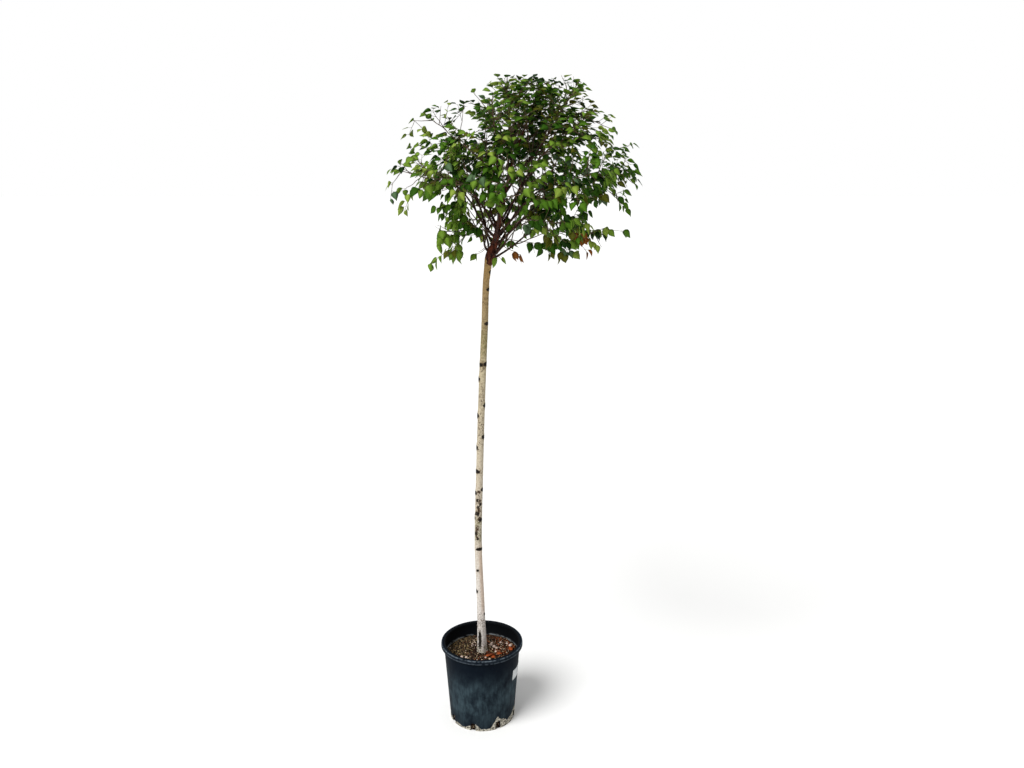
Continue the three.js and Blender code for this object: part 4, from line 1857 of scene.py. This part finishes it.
@dataclass
class Foliage:
    """Twigs, side shoots, leaf stalks and leaves, grown in the space of each mass.

    A share along a shoot, such as where its leaves begin, runs from its root.
    """

    crown: Crown
    boughs: Boughs

    # The stem and the twigs of a mass, which the solids have too.
    stem_reach: float = 0.86
    stem_radius: Pair = (1.9, 0.9)
    stem_leafless: float = 0.35
    twigs_a_mass: int = 7
    twigs_along: Pair = (0.1, 0.92)
    twig_reach: Pair = (0.84, 0.98)
    twig_radius: Pair = (1.3, 0.5)
    twig_shortest: float = 34.0
    twig_fork_deg: Pair = (46.0, 70.0)
    twig_leafless: float = 0.15
    twig_curl: float = 0.05
    twig_leaves_from: float = 0.72

    # The side shoots of the twigs.
    side_spacing: float = 23.0
    side_length: Pair = (34.0, 74.0)
    side_shorter: float = 0.4
    side_shortest: float = 12.0
    side_radius: Pair = (0.7, 0.4)
    side_fork_deg: Pair = (38.0, 62.0)
    side_lift: float = 0.12
    side_leafless: float = 0.2
    side_curl: Pair = (-0.1, 0.25)
    side_scarcity: float = 0.9

    # The limbs that branch from a bough below its mass.
    limbs_a_bough: int = 6
    limb_from: float = 0.34
    limb_radius: Pair = (1.9, 0.7)
    limb_length: Pair = (80.0, 165.0)
    limb_shortest: float = 40.0
    limb_fork_deg: Pair = (34.0, 62.0)
    limb_lift: float = 0.25
    limb_lowest: float = 1585.0
    limb_within: float = 0.97
    limb_step: float = 8.0
    limb_leafless: float = 0.3
    limb_curl: float = 0.1
    limb_leaves_from: float = 0.6
    last_fork: float = 0.97
    waver_size: float = 22.0
    waver_share: float = 0.035

    # The leaves. Where there are two values for low and high, they hold at the heights in leaf_heights.
    leaf_spacing: float = 9.6
    leaf_length: Pair = (22.0, 34.0)
    leaf_heights: Pair = (1520.0, 1960.0)
    leaf_size_low_high: Pair = (1.06, 0.86)
    hang_low_high: Pair = (1.25, 0.5)
    face_up_low_high: Pair = (0.55, 0.9)
    face_spread: float = 0.75
    spray_size: Pair = (1.04, 0.8)
    tip_leaves: int = 2
    tip_leaves_kept: float = 0.75
    stalk_length: Pair = (7.0, 12.0)
    stalk_radii: Pair = (0.5, 0.35)
    mass_outside: float = 1.12
    leaf_scarcity: float = 0.12

    # The crown's outline and how leafy it is.
    crown_radii: Triple = (320.0, 348.0, 306.0)
    outline: float = 1.26
    inlets: tuple[Inlet, ...] = (
        Inlet(0.36, (140, 225), (130, 220)), Inlet(0.35, (-1000, -999), (256, 306)),
        Inlet(0.6, (-215, -255), (-70, -120)),
    )
    trim_within: float = 0.1
    trim_step: float = 6.0
    trim_shortest: float = 36.0
    leafy_left: float = 0.62
    leafy_right_from: Pair = (140.0, 250.0)
    leafy_outside: float = 0.14
    airy_from: Pair = (0.58, 1.04)
    bare_round_head: Pair = (250.0, 110.0)
    bare_below: Pair = (1800.0, 1700.0)
    bare_share: float = 0.72

    # Each row is a height on the stem, a heading, a rise, a length and the share without leaves.
    head_shoots: Rows = (
        (1556, -22, -34, 96, 0.55), (1541, -62, -46, 64, 0.6), (1560, -150, -38, 74, 1.1),
        (1566, 60, -20, 88, 0.5), (1548, 150, -36, 78, 0.85), (1572, 200, -5, 165, 0.42),
        (1580, 226, 6, 150, 0.45), (1566, -38, -10, 215, 0.5),
    )
    forked_from: float = 120.0
    head_curl: float = 0.12
    # The tip of each sprig that stands out of the crown's outline.
    sprigs: Rows = (
        (-138, -30, 1850), (-76, 20, 1880), (34, -40, 1905), (80, 10, 1990), (128, -30, 1986),
        (240, 20, 1992), (290, -20, 1960), (442, 10, 1826), (436, 20, 1578), (-250, -20, 1672),
        (-196, 10, 1850), (164, 10, 1984), (206, -20, 1980), (264, 0, 1990), (298, -20, 1972),
        (432, -40, 1768), (420, 30, 1752), (-138, -10, 1488), (-212, -30, 1636),
    )
    sprig_root: float = 0.85
    sprig_leafless: float = 0.3
    # Each row is a place across and up, its half width and half height, and how leafy it is against the rest.
    clumps: Rows = (
        (352, 1942, 48, 48, 0.1), (0, 1960, 50, 55, 0.3), (-215, 1715, 60, 60, 0.3),
        (60, 1615, 60, 75, 0.3), (-90, 1535, 45, 40, 2.4), (-75, 1850, 50, 40, 1.5),
        (240, 1495, 60, 35, 3.6), (280, 1555, 70, 28, 0.6), (350, 1800, 90, 60, 3.2),
        (-110, 1775, 70, 48, 3.2), (-189, 1850, 45, 50, 3.0), (-95, 1620, 45, 40, 1.7),
        (180, 1985, 110, 55, 3.0), (150, 1500, 70, 30, 4.5), (140, 1690, 90, 50, 0.45),
        (350, 1625, 70, 35, 2.6), (385, 1860, 50, 40, 2.0), (395, 1765, 55, 40, 1.2),
        (235, 1590, 60, 40, 0.7), (-125, 1870, 35, 35, 0.5), (-10, 1490, 35, 28, 0.1),
        (330, 1935, 35, 35, 0.3), (420, 1600, 60, 60, 0.12),
    )
    # Each row is a place across and up, near which sprays have turned brown.
    turning: Rows = ((125, 1545), (282, 1545))
    turning_spread: float = 1100.0
    turning_from: Pair = (60.0, -20.0)
    # How far out the leaves get the most painted light, and from where to where each part of the crown sets
    # in.
    tint_radii: Pair = (340.0, 300.0)
    tint_outermost: float = 1.1
    top_from: Pair = (-120.0, 240.0)
    right_from: Pair = (60.0, 330.0)
    left_from: Pair = (0.0, -280.0)
    skirt_from: Pair = (-60.0, -170.0)

    # What is being grown: its random numbers, its blades and tubes, and where they go.
    roll: Roll = field(init=False)
    blades: list[Template] = field(init=False)
    tubes: dict[Rings, Template] = field(init=False)
    stalk: Template = field(init=False)
    twigs_grown: list[Shoot] = field(init=False, default_factory=list)
    twig_heaps: dict[str, Heap] = field(init=False, default_factory=dict)
    leaf_heaps: dict[Tint, Heap] = field(init=False, default_factory=dict)
    stalk_heap: Heap = field(init=False, default_factory=Heap)

    def __post_init__(self) -> None:
        """Make the templates that are repeated."""
        shape = LeafShape()
        folds = ((0.22, 0.1, 0.15), (0.42, 0.2, -0.25), (0.1, 0.3, 0.35), (0.3, 0.02, -0.1))
        self.blades = [shape.template(*fold) for fold in folds]
        self.stalk = prism(3, 2)
        self.tubes = {rings: prism(6, rings) for rings in Rings}

    def off_middle(self, point: Vector) -> float:
        """Tell how far out of the whole crown a point lies: 0 in its middle, 1 on its outside.

        Args:
            point: The point.

        Returns:
            The share of the way out.
        """
        away = point - self.crown.middle
        left, right, tall = self.crown_radii
        return math.hypot(away.x / (left if away.x < 0 else right), away.y / right, away.z / tall)

    def farthest(self, point: Vector) -> float:
        """Tell how far out growth may reach: less on the right shoulder, on top and low on the left.

        Args:
            point: A point in that direction.

        Returns:
            The share of the way out.
        """
        away = point - self.crown.middle
        reach = self.outline
        for inlet in self.inlets:
            reach -= inlet.at(away)
        return reach

    def trimmed(self, start: Vector, direction: Vector, length: float) -> float:
        """Shorten a shoot until its tip lies a little inside the crown's outline, or it is short.

        Args:
            start: Where the shoot starts.
            direction: The way that it goes.
            length: Its length.

        Returns:
            The length that it keeps.
        """
        tip = start + direction * length
        while length > self.trim_shortest and self.off_middle(tip) > self.farthest(tip) - self.trim_within:
            length -= self.trim_step
            tip = start + direction * length
        return length

    def fullness(self, point: Vector) -> float:
        """Tell how leafy the crown is at a point.

        Args:
            point: The point in mm.

        Returns:
            A share, more inside and on the right, less at the outside and over the bare boughs, and then more
            or less near each clump.
        """
        inside = lerp(self.leafy_left, 1.0, smoothstep(*self.leafy_right_from, point.x))
        shell = lerp(inside, self.leafy_outside, smoothstep(*self.airy_from, self.off_middle(point)))
        away = point - self.crown.stem.course.at(1.0)
        bare = smoothstep(*self.bare_round_head, math.hypot(away.x * (1.8 if away.x < 0 else 1.0), away.y))
        full = shell * (1 - self.bare_share * bare * smoothstep(*self.bare_below, point.z))
        for across, up, wide, tall, share in self.clumps:
            off = ((point.x - across) / wide) ** 2 + ((point.z - up) / tall) ** 2
            full *= 1 + (share - 1) * math.exp(-off)
        return full

    def inner_stem(self, mass: Mass) -> Shoot:
        """Lay the shoot that goes on from the bough's tip through the mass.

        Args:
            mass: The mass.

        Returns:
            The shoot.
        """
        direction = mass.bough.way(1.0)
        start = mass.bough.at(1.0)
        beyond = self.crown.reach(mass, mass.centre, direction)
        length = self.trimmed(start, direction, (mass.centre - start).length + self.stem_reach * beyond)
        return Shoot(start, direction, length, *self.stem_radius, self.stem_leafless)

    def twigs(self, mass: Mass, stem: Shoot) -> Iterable[Shoot]:
        """Lay the twigs of a mass, turned round its stem by the golden angle, as the solids have them.

        Args:
            mass: The mass.
            stem: Its stem.

        Returns:
            The twigs that have room.
        """
        roll = dice(mass.seed)
        for i in range(self.twigs_a_mass):
            along = lerp(*self.twigs_along, (i + roll() / 2) / self.twigs_a_mass)
            start = stem.at(along)
            across = stem.direction.cross(UP).normalized()
            spread = Matrix.Rotation(math.radians(i * GOLDEN_DEG), 3, stem.direction) @ across
            fork = math.radians(lerp(*self.twig_fork_deg, roll()))
            direction = stem.direction * math.cos(fork) + spread * math.sin(fork) + UP * mass.tier.lift
            direction.normalize()
            length = self.crown.reach(mass, start, direction) * lerp(*self.twig_reach, roll())
            length = self.trimmed(start, direction, length)
            if length >= self.twig_shortest:
                yield Shoot(start, direction, length, *self.twig_radius, self.twig_leafless, self.twig_curl)

    def forked(self, way: Vector, turn: float, fork_deg: float, lift: float) -> Vector:
        """Give the direction of a shoot that forks off.

        Args:
            way: The direction of the shoot that it forks from.
            turn: How far round that shoot it stands, in radians.
            fork_deg: The angle of the fork.
            lift: How much it strives upwards.

        Returns:
            The direction.
        """
        spread = Matrix.Rotation(turn, 3, way) @ way.orthogonal().normalized()
        fork = math.radians(fork_deg)
        return (way * math.cos(fork) + spread * math.sin(fork) + UP * lift).normalized()

    def limbs(self, mass: Mass) -> Iterable[Shoot]:
        """Lay the thin limbs that branch from a bough below its mass.

        Args:
            mass: The mass at the bough's end.

        Returns:
            The limbs that stay in the crown.
        """
        roll = self.roll
        for i in range(self.limbs_a_bough):
            along = lerp(self.limb_from, self.last_fork, (i + roll()) / self.limbs_a_bough)
            turn = math.radians(i * GOLDEN_DEG) + roll()
            fork_deg = lerp(*self.limb_fork_deg, roll())
            direction = self.forked(mass.bough.way(along), turn, fork_deg, self.limb_lift)
            start = self.boughs.place(mass, along)
            length = lerp(*self.limb_length, roll())
            tip = start + direction * length
            while length > self.limb_shortest and self.off_middle(tip) > self.limb_within:
                length -= self.limb_step
                tip = start + direction * length
            if tip.z > self.limb_lowest and length > self.limb_shortest:
                curl = self.limb_curl * roll()
                yield Shoot(start, direction, length, *self.limb_radius, self.limb_leafless, curl)

    def sides(self, mass: Mass, parent: Shoot, free: bool = False) -> Iterable[Shoot]:
        """Lay the side shoots of a twig.

        Args:
            mass: The mass that they belong to.
            parent: The twig.
            free: Whether they may leave the mass's space, as those of a limb do.

        Returns:
            The side shoots that have room.
        """
        roll = self.roll
        count = round(parent.length * (1 - parent.leafless) / self.side_spacing)
        lift = self.side_lift + mass.tier.lift
        for i in range(count):
            along = lerp(parent.leafless, self.last_fork, (i + roll()) / count)
            turn = roll() * FULL_TURN
            direction = self.forked(parent.way(along), turn, lerp(*self.side_fork_deg, roll()), lift)
            start = parent.at(along)
            length = lerp(*self.side_length, roll()) * (1.1 - self.side_shorter * along)
            if not free:
                length = min(length, self.crown.reach(mass, start, direction))
                length = self.trimmed(start, direction, length)
            end = start + direction * length
            room = end.z > self.limb_lowest if free else self.off_middle(end) <= self.farthest(end)
            if roll() > self.fullness(start) ** self.side_scarcity:
                continue
            if room and length > self.side_shortest:
                curl = self.side_curl[0] + self.side_curl[1] * roll()
                yield Shoot(start, direction, length, *self.side_radius, self.side_leafless, curl)

    def tint(self, point: Vector) -> Tint:
        """Deal a tint to a spray by where it is: bright outside, on top, on the left and in the skirt as
        painted light, dark inside and on the right as painted shade, blue-green on the right as a painted
        reflection of the sky, and brown where leaves have turned.

        Args:
            point: The spray's middle.

        Returns:
            The tint.
        """
        away = point - self.crown.middle
        wide, tall = self.tint_radii
        outer = min(math.hypot(away.x / wide, away.y / wide, away.z / tall), self.tint_outermost)
        upper = smoothstep(*self.top_from, away.z)
        right = smoothstep(*self.right_from, away.x)
        left = smoothstep(*self.left_from, away.x)
        skirt = smoothstep(*self.skirt_from, away.z)
        offs = [(point.x - x) ** 2 + (point.z - z) ** 2 for x, z in self.turning]
        turned = max(math.exp(-off / self.turning_spread) for off in offs)
        # How likely each tint is there: the painted light and shade follow the place.
        weights = {
            Tint.FRESH: 0.06 + 1.4 * upper * outer**2 + 0.9 * left + 1.1 * skirt,
            Tint.LIME: 0.8 + 1.2 * outer + 0.8 * left + 1.9 * skirt,
            Tint.GRASS: 2.0,
            Tint.DEEP: (2.2 * (1.45 - outer) + 0.6 * right) * (1 - 0.65 * skirt),
            Tint.SHADE: 1.6 * (1.4 - outer) * (1 - 0.7 * skirt),
            Tint.SKY_SHEEN: 0.2 + 0.8 * right,
            Tint.OLIVE: 0.7 + 0.4 * skirt,
            Tint.RUST: 12 * turned * smoothstep(*self.turning_from, point.y),
        }
        draw = self.roll() * sum(weights.values())
        for tint, weight in weights.items():
            draw -= weight
            if draw <= 0:
                return tint
        return Tint.GRASS

    def add_shoot(self, tier: Tier, shoot: Shoot, rings: Rings) -> None:
        """Add a shoot's wood to its tier's heap, with a little waver.

        Args:
            tier: The tier.
            shoot: The shoot.
            rings: How many rings it is drawn with.
        """
        tube = self.tubes[rings]
        shares = [i / (rings - 1) for i in range(rings)]
        line = []
        for share in shares:
            point = shoot.at(share)
            sway = self.waver_share * shoot.length * math.sin(math.pi * share)
            line.append(point + noise.noise_vector(point / self.waver_size) * sway)
        points = bent(tube, line, [shoot.thick(s) for s in shares])
        self.twig_heaps.setdefault(tier.name, Heap()).add(tube, points)

    def add_leaf(
        self, mass: Mass | None, shoot: Shoot, along: float, side: int, size: float, tint: Tint
    ) -> None:
        """Hang one leaf by its stalk from a shoot, unless it would reach out of the crown.

        Args:
            mass: The mass that it belongs to, or nothing for one that may reach out.
            shoot: The shoot that it hangs from.
            along: Where on the shoot, as a share.
            side: On which side, 1 or -1.
            size: Its size against a full-grown leaf.
            tint: Its green.
        """
        roll = self.roll
        way = shoot.way(along)
        across = way.cross(UP)
        across = across.normalized() if across.length > 0.05 else Vector((1.0, 0.0, 0.0))
        root = shoot.at(along)
        outward = (root - self.crown.middle).normalized()
        upper = smoothstep(*self.leaf_heights, root.z)
        stalk_way = way * 0.5 + across * side * (0.7 + 0.5 * roll()) + UP * (0.15 + 0.3 * roll())
        stalk_way = (stalk_way + outward * 0.2).normalized()
        size *= lerp(*self.leaf_size_low_high, upper)
        base = root + stalk_way * (lerp(*self.stalk_length, roll()) * size)
        hang = lerp(*self.hang_low_high, upper) * (0.5 + roll())
        direction = (stalk_way * 0.8 + outward * 0.3 - UP * hang).normalized()
        length = lerp(*self.leaf_length, roll()) * size
        tip = base + direction * length
        off = self.off_middle(tip)
        if mass and (off > self.farthest(tip) or (off > 0.98 and mass.depth(tip) > self.mass_outside)):
            return
        face = outward * self.face_spread + UP * lerp(*self.face_up_low_high, upper)
        face += heading(FULL_TURN * roll(), 0.0) * self.face_spread
        face -= direction * face.dot(direction)
        face.normalize()
        axes = np.array([direction.cross(face), direction, face]) * length
        blade = self.blades[int(roll() * len(self.blades)) % len(self.blades)]
        self.leaf_heaps.setdefault(tint, Heap()).add(blade, blade.points @ axes + np.array(base))
        stalk = bent(self.stalk, [root, base + direction * (0.05 * length)], self.stalk_radii)
        self.stalk_heap.add(self.stalk, stalk)

    def add_leaves(self, mass: Mass | None, shoot: Shoot, first: float | None = None) -> None:
        """Hang a spray of leaves on alternate sides of a shoot, smaller to its tip.

        Args:
            mass: The mass that they belong to, or nothing for leaves that may reach out of the crown.
            shoot: The shoot.
            first: The share of the shoot where the leaves begin, or nothing for its own leafless share.
        """
        start = shoot.leafless if first is None else first
        tint = self.tint(shoot.at(0.6))
        count = max(2, round(shoot.length * (1 - start) / self.leaf_spacing))
        full = self.fullness(shoot.at(0.8)) ** self.leaf_scarcity
        for i in range(count):
            along = lerp(start, 1.0, (i + 0.7) / count)
            at_tip = i >= count - self.tip_leaves
            if self.roll() > (max(full, self.tip_leaves_kept) if at_tip else full):
                continue
            side = 1 if i % 2 else -1
            self.add_leaf(mass, shoot, along, side, lerp(*self.spray_size, i / count), tint)

    def add_sides(self, mass: Mass, parent: Shoot, free: bool = False) -> None:
        """Grow a shoot's side shoots, each with its leaves.

        Args:
            mass: The mass that they belong to.
            parent: The shoot.
            free: Whether they may leave the mass's space.
        """
        for side in self.sides(mass, parent, free):
            self.add_shoot(mass.tier, side, Rings.SIDE)
            self.add_leaves(mass, side)

    def grow(self, mass: Mass) -> None:
        """Grow one mass: its stem, twigs, limbs, side shoots and leaves.

        Args:
            mass: The mass.
        """
        self.roll = dice(mass.seed + 1)
        stem = self.inner_stem(mass)
        self.add_shoot(mass.tier, stem, Rings.STEM)
        twigs = list(self.twigs(mass, stem))
        for twig in twigs:
            self.add_shoot(mass.tier, twig, Rings.TWIG)
        self.twigs_grown += twigs
        for parent in (stem, *twigs):
            self.add_sides(mass, parent)
            self.add_leaves(mass, parent, self.twig_leaves_from)
        for limb in self.limbs(mass):
            self.add_shoot(mass.tier, limb, Rings.TWIG)
            self.add_sides(mass, limb, free=True)
            self.add_leaves(mass, limb, self.limb_leaves_from)

    def grow_head(self) -> None:
        """Grow the short shoots that hang from the stem's head."""
        mass = self.crown.masses[0]
        self.roll = dice(mass.seed + 2)
        for height, facing, rise, length, leafless in self.head_shoots:
            start = self.crown.stem.course.at_height(height)
            direction = heading(math.radians(facing), math.radians(rise))
            shoot = Shoot(start, direction, length, *self.twig_radius, leafless, self.head_curl)
            self.add_shoot(mass.tier, shoot, Rings.TWIG)
            if leafless < 1:
                self.add_leaves(mass, shoot)
            if length > self.forked_from:
                self.add_sides(mass, shoot, free=True)

    def grow_sprigs(self) -> None:
        """Grow the sprigs that stand out of the crown's outline, each from the twig that ends nearest."""
        self.roll = dice(self.crown.seed + 3)
        roots = [twig.at(self.sprig_root) for twig in self.twigs_grown]
        for place in self.sprigs:
            tip = Vector(place)
            start = min(roots, key=lambda root: (root - tip).length)
            across = tip - start
            direction = across.normalized()
            shoot = Shoot(start, direction, across.length, *self.side_radius, self.sprig_leafless)
            self.add_shoot(self.crown.tiers[-1], shoot, Rings.TWIG)
            self.add_leaves(None, shoot)

    def build(self) -> None:
        """Grow every mass and join what is alike."""
        for mass in self.crown.masses:
            self.grow(mass)
        self.grow_head()
        self.grow_sprigs()
        for tier in self.crown.tiers:
            nodes = [f"foliage_{mass.name}" for mass in self.crown.masses if mass.tier is tier]
            bark = YoungBark(f"twig_bark_{tier.name}", 0.65, 0.25, dark="#30241a", light="#5f4c36").make()
            settle(self.twig_heaps[tier.name].build(f"twigs_{tier.name}", bark), nodes)
        nodes = [f"foliage_{mass.name}" for mass in self.crown.masses]
        for tint, heap in self.leaf_heaps.items():
            name = tint.name.lower()
            blade = LeafBlade(f"birch_leaf_{name}", 0.55, 0.07, green=tint.value).make()
            settle(heap.build(f"leaves_{name}", blade), nodes)
        stalk = LeafBlade("leaf_stalk", 0.6, 0.3, green="#6a6e2e").make()
        settle(self.stalk_heap.build("leaf_stalks", stalk), nodes)


# The studio


@dataclass(frozen=True)
class Viewpoint:
    """The photograph's viewing point, found from the ellipses of the pot's rim and base."""

    place: Triple = (98.0, -2600.0, 1750.0)
    pitch_deg: float = 13.55
    focal_px: float = 882.0
    frame_width_px: float = 1024.0
    sensor: float = 36.0

    def build(self) -> None:
        """Make the camera and use it."""
        lens = bpy.data.cameras.new("viewpoint")
        lens.sensor_width = self.sensor
        lens.lens = self.focal_px / self.frame_width_px * self.sensor
        camera = bpy.data.objects.new("viewpoint", lens)
        camera.location = Vector(self.place) * MM
        camera.rotation_euler = (math.radians(90.0 - self.pitch_deg), 0.0, 0.0)
        bpy.context.scene.collection.objects.link(camera)
        bpy.context.scene.camera = camera


@dataclass(frozen=True)
class Studio:
    """A plain pale floor under a soft white dome, with a broad key light from the upper left."""

    floor_half: float = 60000.0
    dome: float = 0.5
    key: float = 3.1
    key_spread_deg: float = 34.0
    key_from: Triple = (-0.74, -0.8, 1.25)

    def build(self) -> None:
        """Make the floor, the dome and the key light."""
        shape = bmesh.new()
        bmesh.ops.create_grid(shape, x_segments=1, y_segments=1, size=self.floor_half * MM)
        piece_of(shape, "floor", PlainPaper("studio_paper", 0.95).make())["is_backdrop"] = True
        scene = bpy.context.scene
        scene.view_settings.view_transform = "Standard"
        world = bpy.data.worlds.new("dome")
        scene.world = world
        world.use_nodes = True
        tree = world.node_tree
        soft = add_node(tree, "Background", ("#ffffff", self.dome))
        backdrop = add_node(tree, "Background", ("#ffffff", 1.0))
        seen = add_node(tree, "LightPath", out="Is Camera Ray")
        join(tree.nodes["World Output"], {"Surface": add_node(tree, "MixShader", (seen, soft, backdrop))})
        sun = bpy.data.lights.new("key", "SUN")
        sun.energy = self.key
        sun.angle = math.radians(self.key_spread_deg)
        light = bpy.data.objects.new("key", sun)
        light.rotation_euler = Vector(self.key_from).to_track_quat("Z", "Y").to_euler()
        scene.collection.objects.link(light)


def write_sizes() -> None:
    """Gather the solids' box and the dressed model's box, in metres; nothing keeps them."""
    boxes = {"cad": CAD_BOX, "visual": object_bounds()}
    {name: [list(corner) for corner in box] for name, box in boxes.items()}


def main() -> None:
    """Build the studio, the pot and the tree in order."""
    logging.basicConfig(level=logging.INFO, format="%(name)s %(message)s")
    noise.seed_set(NOISE_SEED)  # Vector noise starts by the clock unless it is seeded.
    Viewpoint().build()
    Studio().build()
    pot = NurseryPot()
    pot.build()
    PottingSoil(pot).build()
    stem = ClearStem()
    stem.build()
    crown = Crown(stem)
    boughs = Boughs(crown)
    boughs.build()
    Foliage(crown, boughs).build()
    write_sizes()


if __name__ == "__main__":
    main()
